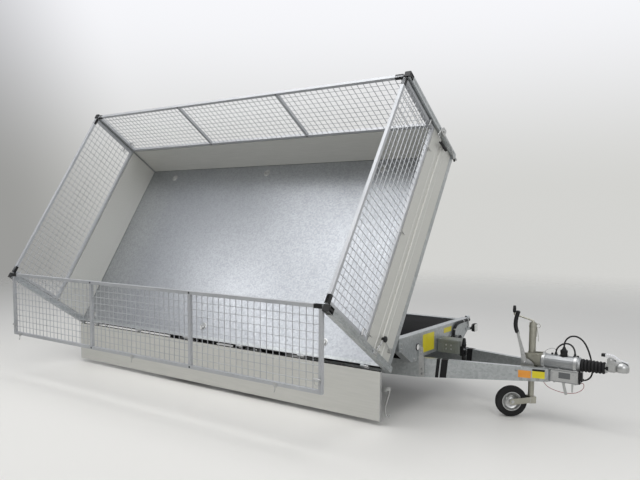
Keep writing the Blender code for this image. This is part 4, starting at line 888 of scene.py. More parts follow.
def make_latches():
    """Locks of the drop sides at the front posts, with their levers, rods and plastic grips."""
    x = BED_LENGTH + END_GAP + POST_SIZE
    metal = Form().prism("X", ((0.874, 0.856), (0.874, 0.934), (0.884, 0.94), (0.928, 0.905),
                               (0.932, 0.862), (0.924, 0.852)), x - 0.0005, x + 0.012)
    metal.bolt((x + 0.012, 0.9, 0.89), FORWARD, 0.009)
    metal.rod((x + 0.006, 0.88, 0.93), (x + 0.006, 0.846, 0.934), 0.004)
    metal.loop((x + 0.006, 0.834, 0.933), 0.014, 0.003, "X")
    metal.tube(((x + 0.006, 0.834, 0.92), (x + 0.006, 0.822, 0.905), (x + 0.006, 0.811, 0.882)), 0.004, 10)
    metal.tube(((x + 0.006, 0.888, 0.856), (x + 0.006, 0.888, 0.772), (x + 0.006, 0.89, 0.709),
                (x + 0.006, 0.874, 0.66), (x + 0.006, 0.853, 0.617)), 0.0045, 10)
    for y, z in ((0.807, 0.83), (0.841, 0.849)):
        metal.disc((x - 0.004, -y, z), (0.0, 0.87, -0.5), -0.01, 0.01, 0.009, 6)
    metal.tube(((x - 0.004, -0.763, 0.809), (x - 0.004, -0.807, 0.83), (x - 0.004, -0.841, 0.849),
                (x + 0.004, -0.88, 0.868)), 0.0045, 10)
    metal.tube(((x - 0.004, -0.765, 0.8), (x - 0.004, -0.776, 0.748), (x - 0.004, -0.79, 0.677)), 0.0045, 10)
    metal.box((x - 0.001, x + 0.01), (-0.872, -0.912), (0.85, 0.905))
    metal.bolt((x + 0.01, -0.892, 0.878), FORWARD, 0.008)
    metal.box((x - 0.022, x + 0.002), (-0.775, -0.805), (0.664, 0.69))
    for end_x in (BED_LENGTH + 0.018, -0.023):
        blade = ((-0.013, 0.765), (0.013, 0.765), (0.01, 0.64), (0.007, 0.514), (-0.007, 0.514),
                 (-0.01, 0.64))
        metal.prism("Y", [(end_x + across, z) for across, z in blade], 0.9155, 0.9235)
        metal.turned(((-0.006, 0.0), (-0.006, 0.008), (0.006, 0.01), (0.009, 0.0)), (end_x, 0.92, 0.749),
                     "Y", 14)
    piece("latch_levers", metal, ZINC, "bed", BED, bevel=0.0008)
    grips = Form()
    steps = 12
    ribs = [0.0125 if k % 2 else 0.0108 for k in range(steps + 1)]
    start, end = Vector((x + 0.006, 0.81, 0.884)), Vector((x + 0.006, 0.82, 0.768))
    grips.tube([start.lerp(end, k / steps) for k in range(steps + 1)], ribs, 14)
    grips.tube(((x + 0.006, 0.853, 0.617), (x + 0.006, 0.846, 0.596)), 0.007, 12)
    grips.turned(((-0.01, 0.0), (-0.01, 0.012), (0.004, 0.014), (0.008, 0.021), (0.018, 0.021),
                  (0.022, 0.016), (0.023, 0.0)), (x - 0.006, -0.763, 0.809), "X", 20)
    piece("latch_grips", grips, PLASTIC, "bed", BED)
    lever = Form()
    for end_x in (BED_LENGTH + 0.018, -0.0155):
        inner_x = BED_LENGTH - PANEL_INSET - 0.024 if end_x > 0 else PANEL_INSET + 0.024
        low, high = HINGE_Z + 0.13, HINGE_Z + 0.16
        lever.box((inner_x - 0.01, inner_x + 0.01), (-OUTER_Y + 0.001, -0.9195), (low, high))
        lever.box((inner_x, end_x), (-0.9155, -0.9195), (low, high))
        way = 1 if end_x > 0 else -1
        curve = ((0.02, 0.128), (0.016, 0.165), (0.002, 0.215), (-0.012, 0.262), (-0.014, 0.3),
                 (-0.004, 0.326), (0.012, 0.33), (0.021, 0.316))
        path = smooth_path([(end_x + way * u, -0.925, HINGE_Z + v) for u, v in curve], 4)
        lever.tube(path, 0.0062, 12, 0.75)
        lever.box((end_x, end_x + way * 0.026), (-0.9195, -0.929), (low - 0.008, low + 0.018))
        lever.turned(((-0.006, 0.0), (-0.006, 0.01), (0.006, 0.01), (0.008, 0.0)),
                     (end_x, -0.9265, low + 0.012), "Y", 14)
    piece("right_board_levers", lever, ZINC, "right_board", RIGHT_BOARD, bevel=0.0008)


def make_bed_fittings():
    """Hinge pins, lashing eyes, floor rivets and the welds and bolts of the bed frame."""
    metal = Form()
    for side in (-1, 1):
        for x in HINGES_X:
            for at in (x - PIN_HEAD, x + 2 * KNUCKLE_LENGTH + 0.0006):
                metal.disc((at, side * HINGE_Y, HINGE_Z), "X", 0.0, PIN_HEAD, 0.0068, 14)
    for x, y in ((0.357, 0.776), (1.563, 0.788), (2.77, 0.78), (0.122, -0.835), (1.563, -0.788),
                 (2.77, -0.78)):
        metal.knob(((-0.001, 0.034), (0.0015, 0.034), (0.0035, 0.029), (0.0025, 0.025), (0.0012, 0.022)),
                   (x, y, FLOOR_Z), "Z", 28)
        metal.loop((x, y, FLOOR_Z + 0.0045), 0.019, 0.0032, "Z")
        metal.box((x - 0.008, x + 0.008), (y - 0.024, y - 0.014), (FLOOR_Z, FLOOR_Z + 0.009))
    piece("bed_fittings", metal, ZINC, "bed", BED)
    rivets = Form()
    for x in CROSS_X:
        for y in (-0.8, -0.48, -0.16, 0.16, 0.48, 0.8):
            rivets.stud((x, y, FLOOR_Z), UP, 0.0055)
    piece("floor_rivets", rivets, SHEET, "bed", BED)
    frame_bits = Form()
    low = FLOOR_Z - 0.045
    for side in (-1, 1):
        for x in CROSS_X:
            for at in (x - 0.027, x + 0.027):
                frame_bits.bead((at, side * 0.82, low + 0.006), (at, side * 0.82, FLOOR_Z - 0.006), 0.003)
        for x in (0.3, 0.9, 1.5, 2.1, 2.7, 3.02):
            frame_bits.tube(((x, side * 0.88, low + 0.002), (x, side * 0.884, low - 0.016),
                             (x, side * 0.893, low - 0.026), (x, side * 0.902, low - 0.02),
                             (x, side * 0.904, low - 0.01)), 0.004, 10)
        for x in (RAM_X - 0.06, RAM_X + 0.06):
            frame_bits.bolt((x, side * 0.037, FLOOR_Z - 0.067), DOWN, 0.009)
    for x in (CROSS_X[0], CROSS_X[-1]):
        for y in (-0.7, -0.63, 0.63, 0.7):
            frame_bits.bolt((x, y, FLOOR_Z - 0.061), DOWN, 0.006)
    piece("bed_frame_bits", frame_bits, GALVANISED, "bed", BED)


def make_seals():
    """Rubber strips along the bed's edges, between the hinges, and under each drop side."""
    edge = Form()
    gaps = [(hinge - 0.006, hinge + 2 * KNUCKLE_LENGTH + 0.006) for hinge in HINGES_X]
    stops = [0.0, *(x for gap in gaps for x in gap), BED_LENGTH]
    section = ((-0.0012, 0.59), (0.0012, 0.5905), (0.0022, 0.6), (0.0022, 0.62), (0.0012, 0.627),
               (-0.0012, 0.6275))
    for side in (-1, 1):
        for x0, x1 in zip(stops[::2], stops[1::2]):
            edge.prism("X", [(side * (OUTER_Y + out), z) for out, z in section], x0, x1)
    piece("bed_edge_seals", edge, RUBBER, "bed", BED)
    for name, side in SIDES:
        section = ((0.8715, 0.6325), (0.876, 0.632), (0.89, 0.632), (0.8945, 0.6325), (0.8945, 0.635),
                   (0.8715, 0.635))
        strip = Form().prism("X", [(side * y, z) for y, z in section], 0.012, BED_LENGTH - 0.012)
        piece(f"drop_side_{name}_seal", strip, RUBBER, f"{name}_board", RIGHT_BOARD if side < 0 else BED)


make_cage()
make_boards()
make_seals()
make_posts()
make_latches()
make_bed_fittings()
dress("bed_frame", GALVANISED, 0.0015)
dress("bed_floor", SHEET)


# Chassis

def beam_label(name, outline):
    """A thin yellow label on the front beam's face, from a (y, z) outline."""
    fixed(name, Form().prism("X", outline, FRONT_BEAM_FACE - 0.0005, FRONT_BEAM_FACE + 0.0012), LABEL_YELLOW)


def make_front_beam_parts():
    """Labels, reflector, hose and fasteners at the front beam, and a black box between the rails behind it
    that is painted shade.
    """
    face = FRONT_BEAM_FACE
    beam_label("beam_label_large", rounded((-0.253, -0.058), (0.405, 0.54), 0.004))
    beam_label("beam_label_small", rounded((0.12, 0.26), (0.5, 0.54), 0.003))
    holder = Form().knob(((-0.001, 0.026), (0.005, 0.026), (0.007, 0.0235), (0.004, 0.022)),
                         (face, -0.343, 0.463), "X", 32)
    fixed("front_reflector_holder", holder, PLASTIC)
    lens = Form().turned(((0.003, 0.0), (0.003, 0.0218), (0.0065, 0.0215), (0.0075, 0.016), (0.008, 0.0)),
                         (face, -0.343, 0.463), "X", 32)
    fixed("front_reflector_lens", lens, LAMP_CLEAR)
    # Painted shade: a near-black box between the rails behind the front beam, so the chassis interior there
    # looks dark.
    shade_box = Form().prism("X", rounded((-0.468, 0.468), (0.3805, 0.54), 0.02), 2.455, 3.236)
    shade_box.prism("X", rounded((-0.478, 0.478), (0.535, 0.556), 0.006), 2.445, 3.238)
    for x in (2.58, 2.78, 2.98, 3.15):
        shade_box.prism("X", rounded((-0.473, 0.473), (0.3805, 0.536), 0.022), x - 0.008, x + 0.008)
    fixed("painted_shade_box", shade_box, PAINTED_SHADE_BLACK, bevel=0.002)
    hose = Form()
    route = ((3.291, 0.612, 0.548), (3.303, 0.612, 0.548), (HOSE_X, 0.6, 0.549), (HOSE_X, 0.566, 0.551),
             (HOSE_X, 0.469, 0.552), (HOSE_X, 0.38, 0.548), (HOSE_X, 0.33, 0.535), (HOSE_X, 0.298, 0.505),
             (HOSE_X, 0.287, 0.463), (HOSE_X, 0.303, 0.432), (HOSE_X, 0.338, 0.417), (HOSE_X, 0.385, 0.415),
             (HOSE_X, 0.425, 0.424), (3.303, 0.44, 0.432), (3.291, 0.442, 0.434))
    hose.tube(smooth_path(route, 3), HOSE_RADIUS, 14)
    route = ((3.291, 0.262, 0.456), (3.305, 0.262, 0.456), (HOSE_X, 0.25, 0.452), (HOSE_X, 0.215, 0.43),
             (HOSE_X, 0.178, 0.415), (HOSE_X, 0.132, 0.412), (HOSE_X, 0.12, 0.412))
    hose.tube(smooth_path(route, 3), HOSE_RADIUS, 14)
    for y in (-0.645, 0.645):
        hose.knob(((-0.004, 0.017), (0.006, 0.02), (0.012, 0.017)), (3.27, y - 0.004, 0.55), "Y", 20)
    fixed("beam_hose", hose, RUBBER)
    metal = Form()
    for axis, v, at in (("Y", 0.551, 0.56), ("Y", 0.552, 0.469), ("Z", 0.3, 0.508), ("Y", 0.416, 0.36)):
        rings = [[(HOSE_X + p, v + q) for p, q in arc((0.0, 0.0), radius, 0, 330, 12)]
                 for radius in (0.013, 0.0109)]
        metal.sleeve(axis, rings[0], rings[1], at - 0.006, at + 0.006)
    for y, z in ((0.262, 0.456), (0.442, 0.434), (0.612, 0.548)):
        metal.disc((face, y, z), "X", -0.001, 0.006, 0.013, 6)
    for y, z in ((0.3, 0.452), (0.322, 0.448)):
        metal.turned(((-0.001, 0.0), (-0.001, 0.01), (0.004, 0.01), (0.005, 0.006), (0.017, 0.006),
                      (0.018, 0.0)), (face, y, z), "X", 6)
    for side in (-1, 1):
        for y, z in ((0.6, 0.52), (0.6, 0.49), (0.395, 0.38)):
            metal.bolt((face, side * y, z), FORWARD, 0.008)
        metal.bead((face + 0.001, side * 0.4396, 0.366), (face + 0.001, side * 0.598, 0.462), 0.0025)
    fixed("front_beam_fasteners", metal, ZINC)


def make_pump():
    """Power pack box with its lid, and the hand pump beside it."""
    x0 = FRONT_BEAM_FACE + GAP
    x1 = x0 + 0.18
    box = Form().prism("Z", rounded((x0, x1 - 0.002), (0.003, 0.127), 0.01), 0.373, 0.453)
    box.prism("Z", rounded((x0, x1 - 0.006), (0.007, 0.123), 0.008), 0.452, 0.456)
    box.prism("Z", rounded((x0, x1), (0.0, 0.13), 0.012), 0.4555, 0.4755)
    box.prism("Z", rounded((x0 + 0.02, x1 - 0.02), (0.018, 0.112), 0.01), 0.475, 0.478)
    for x in (3.345, 3.44):
        box.box((x - 0.01, x + 0.01), (0.0005, 0.006), (0.385, 0.448))
    fixed("pump_cover", box, BOX_GREY, ("pump_box",), 0.002)
    bits = Form()
    for x in (3.322, 3.462):
        for y in (0.012, 0.118):
            bits.stud((x, y, 0.4755), UP, 0.005)
    for x, z in ((3.372, 0.405), (3.412, 0.405), (3.372, 0.435), (3.412, 0.435)):
        bits.bolt((x, 0.003, z), RIGHTWARD, 0.0055)
    for y in (0.03, 0.1):
        bits.box((x1 - 0.003, x1 + 0.001), (y - 0.01, y + 0.01), (0.436, 0.472))
        bits.rod((x1 + 0.001, y - 0.01, 0.47), (x1 + 0.001, y + 0.01, 0.47), 0.003, 10)
    fixed("pump_cover_screws", bits, ZINC)
    x = x1 + GAP
    hand = Form().box((x, x + 0.026), (0.014, 0.062), (0.36, 0.432))
    hand.knob(((0.323, 0.014), (0.33, 0.017), (0.352, 0.017), (0.356, 0.014), (0.36, 0.014), (0.432, 0.014),
               (0.436, 0.0165), (0.452, 0.0165), (0.456, 0.013), (0.484, 0.012), (0.49, 0.009),
               (0.497, 0.009)), (x + 0.021, 0.038, 0.0), "Z", 24)
    hand.knob(((0.0, 0.012), (0.008, 0.013), (0.01, 0.016), (0.016, 0.016)), (x + 0.026, 0.038, 0.385), "X",
              18)
    hand.knob(((-0.01, 0.0085), (0.03, 0.0085), (0.032, 0.006)), (x + 0.014, 0.038, 0.442),
              (0.3, 0.55, 0.78), 16)
    fixed("hand_pump_body", hand, PLASTIC, ("hand_pump",), 0.001)
    chrome = Form().rod((x + 0.021, 0.038, 0.45), (x + 0.021, 0.038, 0.4965), 0.0062, 16)
    for y in (0.02, 0.056):
        chrome.knob(((-0.002, 0.0065), (0.006, 0.0065), (0.006, 0.0045), (0.012, 0.0045)),
                    (x + 0.026, y, 0.415), "X", 6)
    fixed("hand_pump_fittings", chrome, CHROME)


def make_marker_lamp():
    """Position lamp on a short arm past the beam's left end, with a clear lens to the front and rear."""
    x = FRONT_BEAM_FACE + GAP
    arm = Form().prism("Z", ((x, 0.555), (x + 0.004, 0.555), (x + 0.004, 0.6), (x + 0.016, 0.612),
                             (x + 0.016, 0.634), (x + 0.004, 0.634), (x, 0.63)), 0.461, 0.485)
    arm.bolt((x + 0.004, 0.575, 0.473), FORWARD, 0.006)
    fixed("marker_lamp_bracket", arm, GALVANISED, bevel=0.0008)
    profile = ((0.612, 0.0), (0.612, 0.008), (0.628, 0.0085), (0.632, 0.011), (0.64, 0.011), (0.643, 0.009),
               (0.648, 0.011), (0.654, 0.009), (0.66, 0.011), (0.666, 0.009), (0.68, 0.011), (0.68, 0.0))
    joint = Form().turned(profile, (x + 0.012, 0.0, 0.473), "Y", 20)
    joint.prism("X", rounded((0.675, 0.74), (0.437, 0.503), 0.01), x + 0.008, x + 0.028)
    fixed("marker_lamp_housing", joint, RUBBER, ("marker_lamp",), 0.001)
    for end, low, high in (("front", x + 0.0275, x + 0.0355), ("rear", x, x + 0.0085)):
        lens = Form().prism("X", rounded((0.679, 0.736), (0.441, 0.499), 0.009), low, high)
        fixed(f"marker_lamp_{end}_lens", lens, LAMP_CLEAR, bevel=0.0025)


def rail_bottom(x):
    """Height of the drawbar rail's lower edge at x."""
    return DRAWBAR_LOW + max(0.0, (x - FRONT_BEAM_FACE) * DRAWBAR_TAPER)


def make_drawbar_parts():
    """Sleeves, labels, bolts and welds on the V of drawbar rails."""
    sleeve = Form()
    for x0, x1 in ((3.42, 3.444), (3.452, 3.5)):
        half, lean = (x1 - x0) / 2, 0.006
        for _, side in SIDES:
            outline = [(-half - lean, rail_bottom(x0) - 0.001), (half - lean, rail_bottom(x1) - 0.001),
                       (half + lean, DRAWBAR_TOP + 0.001), (-half + lean, DRAWBAR_TOP + 0.001)]
            place = rail_face((x0 + x1) / 2, side)
            sleeve.slab(place, outline, side * 0.0012, -side * (DRAWBAR_THICK + 0.0012))
    fixed("drawbar_sleeves", sleeve, RUBBER, bevel=0.0006)
    straps = Form()
    for _, side in SIDES:
        place = rail_face(3.32, side)
        outline = ((-0.019, 0.462), (0.01, 0.462), (0.024, 0.245), (-0.01, 0.238), (-0.019, 0.26))
        straps.slab(place, outline, side * 0.0115, side * 0.0165)
        for a, b in ((-0.003, 0.44), (0.0, 0.41), (0.005, 0.3), (0.008, 0.265)):
            straps.bolt(place @ Vector((a, side * 0.0165, b)), (side * DRAWBAR_SLOPE, side, 0.0), 0.008)
    fixed("drawbar_straps", straps, ZINC, bevel=0.0008)
    for name, x, z, look in (("orange", (3.972, 4.055), (0.304, 0.355), LABEL_ORANGE),
                             ("yellow", (4.061, 4.142), (0.308, 0.356), LABEL_YELLOW),
                             ("stripe", (4.061, 4.142), (0.3562, 0.37), PLASTIC)):
        middle = sum(x) / 2
        half = (x[1] - x[0]) / 2
        label = Form().prism("Y", rounded((-half, half), z, 0.002), -0.001, 0.0003)
        label.move(rail_face(middle, -1))
        fixed(f"drawbar_label_{name}", label, look)
    metal = Form()
    for _, side in SIDES:
        for x, z in ((4.095, 0.3), (4.15, 0.3), (4.15, 0.335), (3.96, 0.352), (3.99, 0.29), (4.045, 0.29)):
            hidden_by_label = side < 0 and 0.3 < z < 0.345
            if hidden_by_label:
                continue
            metal.bolt((x, side * drawbar_half(x), z), (side * DRAWBAR_SLOPE, side, 0.0), 0.008)
        for x in (2.62, 2.9):
            spot_on = (x, side * drawbar_half(x), DRAWBAR_TOP - 0.03)
            metal.bolt(spot_on, (side * DRAWBAR_SLOPE, side, 0.0), 0.009)
    fixed("drawbar_bolts", metal, ZINC)


def make_housing_parts():
    """Flanges, plates, bolts, glands and stays on the overrun housing, and the bellows before it."""
    zinc = Form()
    centre = (0.0, 0.0, HOUSING_AXIS_Z)
    for x in (HOUSING_REAR_X + 0.03, HOUSING_FRONT_X - 0.03):
        zinc.band(centre, "X", x - 0.01, x + 0.01, 0.051, 0.0565, 40)
    for _, side in SIDES:
        for x in (4.112, 4.157, 4.189, 4.255, 4.327):
            y = min(drawbar_half(min(x, DRAWBAR_FRONT_X)) - DRAWBAR_THICK - 0.008, 0.058)
            zinc.bolt((x, side * y, HOUSING_LOW), DOWN, 0.0075)
        zinc.box((4.165, 4.343), (side * 0.0665, side * 0.0705), (0.296, 0.368))
        for x in (4.18, 4.208, 4.31, 4.33):
            zinc.bolt((x, side * 0.0705, 0.352), (0.0, side, 0.0), 0.006)
        zinc.bolt((4.33, side * 0.0705, 0.312), (0.0, side, 0.0), 0.006)
    zinc.prism("Y", ((4.238, 0.291), (4.255, 0.291), (4.278, 0.21), (4.264, 0.204), (4.258, 0.21)),
               -0.058, -0.052)
    zinc.prism("Y", ((4.3, 0.291), (4.316, 0.291), (4.311, 0.228), (4.303, 0.228)), -0.058, -0.052)
    zinc.prism("Y", ((4.1, 0.372), (4.1, 0.378), (4.345, 0.378), (4.345, 0.372)), -0.0665, 0.0665)
    for x in (4.12, 4.215, 4.33):
        for side in (-1, 1):
            zinc.bolt((x, side * 0.058, 0.378), UP, 0.006)
    fixed("housing_fittings", zinc, ZINC, bevel=0.0006)
    black = Form()
    for x in (4.1555, 4.322):
        black.knob(((-0.006, 0.0075), (0.008, 0.0075), (0.01, 0.005)), (x, 0.0, HOUSING_TOP), "Z", 14)
    for x in (4.18, 4.304):
        black.turned(((-0.006, 0.0), (-0.006, 0.0125), (0.003, 0.0115), (0.006, 0.009), (0.018, 0.0072),
                      (0.018, 0.0057), (-0.006, 0.0057)), (x, 0.0, HOUSING_TOP), "Z", 18)
    black.disc((4.232, 0.0, HOUSING_TOP), "Z", -0.004, 0.0, 0.03, 24)
    for y, radius in ((0.041, 0.0062), (-0.03, 0.0026)):
        black.turned(((-0.004, 0.0), (-0.004, radius + 0.007), (0.003, radius + 0.006),
                      (0.012, radius + 0.0012), (0.012, radius), (-0.004, radius)),
                     (HOUSING_FRONT_X, y, 0.303 if y > 0 else 0.296), "X", 18)
    black.box((4.3445, 4.3535), (-0.05, -0.04), (0.288, 0.386))
    black.prism("Y", ((4.3445, 0.368), (4.363, 0.376), (4.37, 0.37), (4.371, 0.312), (4.365, 0.308),
                      (4.3445, 0.33)), -0.062, -0.052)
    fixed("housing_rubber_parts", black, PLASTIC, bevel=0.0008)
    name_plate = Form().prism("Y", rounded((4.22, 4.295), (0.319, 0.36), 0.002), -0.0716, -0.0702)
    fixed("housing_plate", name_plate, LABEL_GREY)
    wire = Form().tube(smooth_path(((4.106, 0.0, 0.458), (4.106, 0.0, 0.476), (4.116, 0.0, 0.49),
                                    (4.138, 0.0, 0.502), (4.164, 0.0, 0.508), (4.176, 0.0, 0.5),
                                    (4.18, 0.0, 0.49)), 4), 0.0018, 8)
    fixed("housing_wire", wire, ZINC)
    bellows = []
    start, end, ribs = HOUSING_FRONT_X + 0.0013, BELLOWS_END_X, 7
    for k in range(ribs * 8 + 1):
        share = k / (ribs * 8)
        wave = abs(math.sin(math.pi * ribs * share)) ** 0.7
        bellows.append((start + (end - start) * share, 0.0365 - 0.005 * share + 0.009 * wave))
    bellows = [(start, 0.0)] + bellows + [(end, 0.0)]
    fixed("bellows_skin", Form().turned(bellows, centre, "X", 40), RUBBER, ("bellows",), sharp=60)


def make_coupling_head():
    """Cast ball coupling with its release handle, hollow underneath for the tow ball."""
    base = HOUSING_AXIS_Z - 0.012
    x = HEAD_BALL_X
    cast = Form().turned(((0.0, 0.0265), (0.0, 0.04), (0.004, 0.0428), (0.034, 0.0428), (0.046, 0.039),
                          (0.056, 0.031), (0.063, 0.018), (0.0665, 0.0), (0.046, 0.0), (0.04, 0.012),
                          (0.03, 0.0235), (0.014, 0.0262)), (x, 0.0, base), "Z", 40)
    start = BELLOWS_END_X + GAP
    profile = ((start, base), (start, base + 0.046), (start + 0.006, base + 0.05), (4.524, base + 0.058),
               (4.552, base + 0.064), (4.578, base + 0.06), (4.578, base + 0.004), (4.556, base - 0.006),
               (4.53, base - 0.006))
    cast.prism("Y", profile, -0.027, 0.027)
    for side in (-1, 1):
        cast.prism("Y", ((4.52, base + 0.008), (4.52, base + 0.04), (4.56, base + 0.046),
                         (4.56, base + 0.006)), *sorted((side * 0.026, side * 0.0335)))
        cast.prism("Y", ((4.508, base + 0.048), (4.508, base + 0.078), (4.52, base + 0.092),
                         (4.545, base + 0.086), (4.562, base + 0.055)),
                   *sorted((side * 0.0145, side * 0.0205)))
    cast.knob(((0.0, 0.031), (0.01, 0.031), (0.012, 0.028)), (start, 0.0, HOUSING_AXIS_Z), "X", 28)
    fixed("coupling_casting", cast, ZINC, ("coupling_head",), 0.0012)
    handle = Form()
    line = ((4.476, 0.504), (4.498, 0.511), (4.525, 0.509), (4.552, 0.5), (4.58, 0.479), (4.612, 0.47),
            (4.632, 0.464), (4.6385, 0.452))
    upper = [(px, pz + 0.0022) for px, pz in line]
    lower = [(px - 0.001, pz - 0.0022) for px, pz in reversed(line)]
    handle.prism("Y", upper + lower, -0.0125, 0.0125)
    for side in (-1, 1):
        handle.prism("Y", ((4.482, 0.504), (4.498, 0.511), (4.525, 0.509), (4.552, 0.5), (4.576, 0.48),
                           (4.556, 0.48), (4.53, 0.487), (4.5, 0.489), (4.484, 0.492)),
                     *sorted((side * 0.0105, side * 0.013)))
    handle.rod((4.533, -0.0235, 0.48), (4.533, 0.0235, 0.48), 0.0055, 16)
    fixed("coupling_handle", handle, CHROME, bevel=0.0008)
    black = Form()
    for side in (-1, 1):
        black.knob(((0.0, 0.014), (0.004, 0.0135), (0.006, 0.01)), (4.513, side * 0.027, 0.419),
                   (0.0, side, 0.0), 20)
    black.prism("Z", rounded((4.47, 4.496), (-0.016, 0.016), 0.006), 0.4935, 0.5125)
    fixed("coupling_plastics", black, PLASTIC, bevel=0.0015)


def make_brake_lever():
    """Handbrake: a flat zinc bar with its quadrant and a ribbed plastic grip."""
    y = -0.06
    bar = Form()
    line = ((3.982, 0.3723), (3.984, 0.4), (3.976, 0.44), (3.964, 0.49), (3.944, 0.56), (3.93, 0.606))
    widths = (0.022, 0.019, 0.0155, 0.0125, 0.01, 0.0085)
    right = [(px + w, pz) for (px, pz), w in zip(line, widths)]
    left = [(px - w, pz) for (px, pz), w in zip(line, widths)]
    bar.prism("Y", right + left[::-1], y - 0.004, y + 0.004)
    bar.prism("Y", ((3.965, 0.3723), (4.05, 0.3723), (4.046, 0.392), (4.02, 0.414), (3.995, 0.422),
                    (3.972, 0.42)), y + 0.0045, y + 0.0085)
    bar.bolt((3.985, y - 0.004, 0.396), RIGHTWARD, 0.009)
    bar.bolt((3.97, y - 0.004, 0.455), RIGHTWARD, 0.006)
    bar.rod((3.985, y, 0.396), (3.985, y + 0.018, 0.396), 0.006)
    bar.tube(((3.938, y, 0.59), (3.934, y, 0.612)), 0.0095, 16)
    fixed("brake_lever_bar", bar, ZINC, bevel=0.0008)
    route = smooth_path(((3.931, y, 0.6), (3.92, y, 0.63), (3.916, y, 0.66), (3.919, y, 0.7),
                         (3.928, y, 0.735), (3.934, y, 0.757)), 6)
    radii = [0.015 if k % 2 else 0.0136 for k in range(len(route))]
    radii[0], radii[-1] = 0.011, 0.01
    grip = Form().tube(route, radii, 18)
    fixed("brake_lever_grip", grip, PLASTIC, ("brake_lever",), sharp=50)


def make_jockey():
    """Clamp and fittings of the jockey wheel's mast, and its crank."""
    x = MAST_X
    zinc = Form()
    for low, high in ((-0.0345, -0.029), (0.029, 0.0345)):
        zinc.prism("Y", ((3.982, 0.425), (3.978, 0.46), (4.06, 0.466), (4.103, 0.47), (4.105, 0.378),
                         (4.036, 0.378)), low, high)
    for px, pz in ((4.04, 0.448), (4.067, 0.453), (4.095, 0.442)):
        zinc.bolt((px, -0.0345, pz), RIGHTWARD, 0.007)
        zinc.rod((px, -0.03, pz), (px, 0.04, pz), 0.0045, 12)
        zinc.disc((px, 0.0345, pz), "Y", 0.0, 0.006, 0.008, 6)
    zinc.turned(((0.438, 0.0245), (0.438, 0.03), (0.446, 0.0305), (0.45, 0.028), (0.45, 0.0245)),
                (x, 0.0, 0.0), "Z", 32, True)
    zinc.band((x, 0.0, 0.0), "Z", 0.64, 0.652, 0.0242, 0.0262, 32)
    for pz in (0.52, 0.58):
        zinc.disc((x, -0.0238, pz), RIGHTWARD, 0.0, 0.0015, 0.0032, 10)
    zinc.loop((4.055, 0.0, 0.654), 0.014, 0.0018)
    zinc.tube(((4.041, 0.0, 0.65), (4.046, 0.0, 0.64), (4.052, 0.0, 0.61), (4.058, 0.0, 0.575),
               (4.058, 0.0, 0.543)), 0.0018, 8)
    zinc.tube(((4.04, 0.0, 0.654), (4.044, 0.0, 0.63), (4.046, 0.0, 0.6), (4.045, 0.0, 0.575)), 0.0018, 8)
    zinc.tube(((4.04, 0.0, 0.664), (4.054, 0.0, 0.667)), 0.003, 8)
    fixed("jockey_mast_fittings", zinc, PASSIVATED, bevel=0.0006)
    crank = Form()
    crank.knob(((0.0003, 0.017), (0.004, 0.017), (0.006, 0.01), (0.014, 0.008)), (x, 0.0, MAST_TOP), "Z", 24)
    crank.tube(smooth_path(((x + 0.006, 0.0, MAST_TOP + 0.01), (x - 0.01, 0.0, MAST_TOP + 0.014),
                            (x - 0.03, 0.0, MAST_TOP + 0.021), (x - 0.08, 0.0, MAST_TOP + 0.034),
                            (x - 0.118, 0.0, MAST_TOP + 0.04), (x - 0.13, 0.0, MAST_TOP + 0.047),
                            (x - 0.132, 0.0, MAST_TOP + 0.062)), 4), 0.0062, 14, 0.8)
    crank.rod((x - 0.132, 0.0, MAST_TOP + 0.058), (x - 0.132, 0.0, MAST_TOP + 0.1105), 0.004, 12)
    fixed("jockey_crank_arm", crank, PASSIVATED)
    grip = Form().turned(((0.06, 0.0), (0.06, 0.0085), (0.064, 0.011), (0.08, 0.0118), (0.096, 0.0108),
                          (0.106, 0.01), (0.11, 0.0075), (0.111, 0.0)), (x - 0.132, 0.0, MAST_TOP), "Z", 24)
    fixed("jockey_crank_grip", grip, PLASTIC, ("jockey_crank",), sharp=60)


def tyre(name, body, place, centre, radius, bore, width, blocks, replaces):
    """A tyre with grooves round its tread and a row of shoulder blocks each side."""
    half = width / 2
    deep = 0.0045 if blocks else 0.0012
    crown = radius - 0.0004
    edge = half * 0.56
    lines = (0.0, 0.3, 0.56) if blocks else (0.35,)
    profile = [(half * 0.84, bore), (half * 0.97, bore + 0.006), (half * 0.93, bore + 0.014),
               (half * 0.985, bore + 0.3 * (radius - bore)), (half * 0.99, bore + 0.48 * (radius - bore)),
               (half * 0.955, radius - 0.22 * half - 0.008), (half * 0.9, radius - 0.16 * half),
               (half * 0.8, crown - deep - 0.0015), (half * 0.62, crown - deep)]
    top = []
    for share in reversed(lines):
        at = share * half
        if at == 0.0:
            top += [(0.003, crown), (0.0022, crown - deep)]
        else:
            top += [(at + 0.003, crown), (at + 0.0022, crown - deep), (at - 0.0022, crown - deep),
                    (at - 0.003, crown)]
    if blocks:
        top = [(edge + 0.003, crown - deep)] + top[1:]
    right = profile + top
    section = right + [(-a, r) for a, r in reversed(right)]
    form = Form().turned(section, centre, "Y", 96, True)
    for k in range(blocks):
        for side in (-1, 1):
            turn = Matrix.Rotation(2 * math.pi * (k + (0.5 if side > 0 else 0.0)) / blocks, 4, "Y")
            size = math.pi * radius / blocks * 0.72
            row = [(side * half * a, r, w) for a, r, w in
                   ((0.6, crown - deep - 0.002, size), (0.6, crown - 0.0002, size),
                    (0.8, crown - 0.0018, size * 0.9), (0.925, radius - 0.16 * half - 0.004, size * 0.8),
                    (0.86, radius - 0.16 * half - 0.01, size * 0.8))]
            rings = [[form.bm.verts.new(Vector(centre) + turn @ Vector((s * w, a, r))) for a, r, w in row]
                     for s in (-1, 1)]
            form.join(rings, [form.bm.faces.new(ring) for ring in rings])
    piece(name, form, TREAD, body, place, replaces, sharp=28)


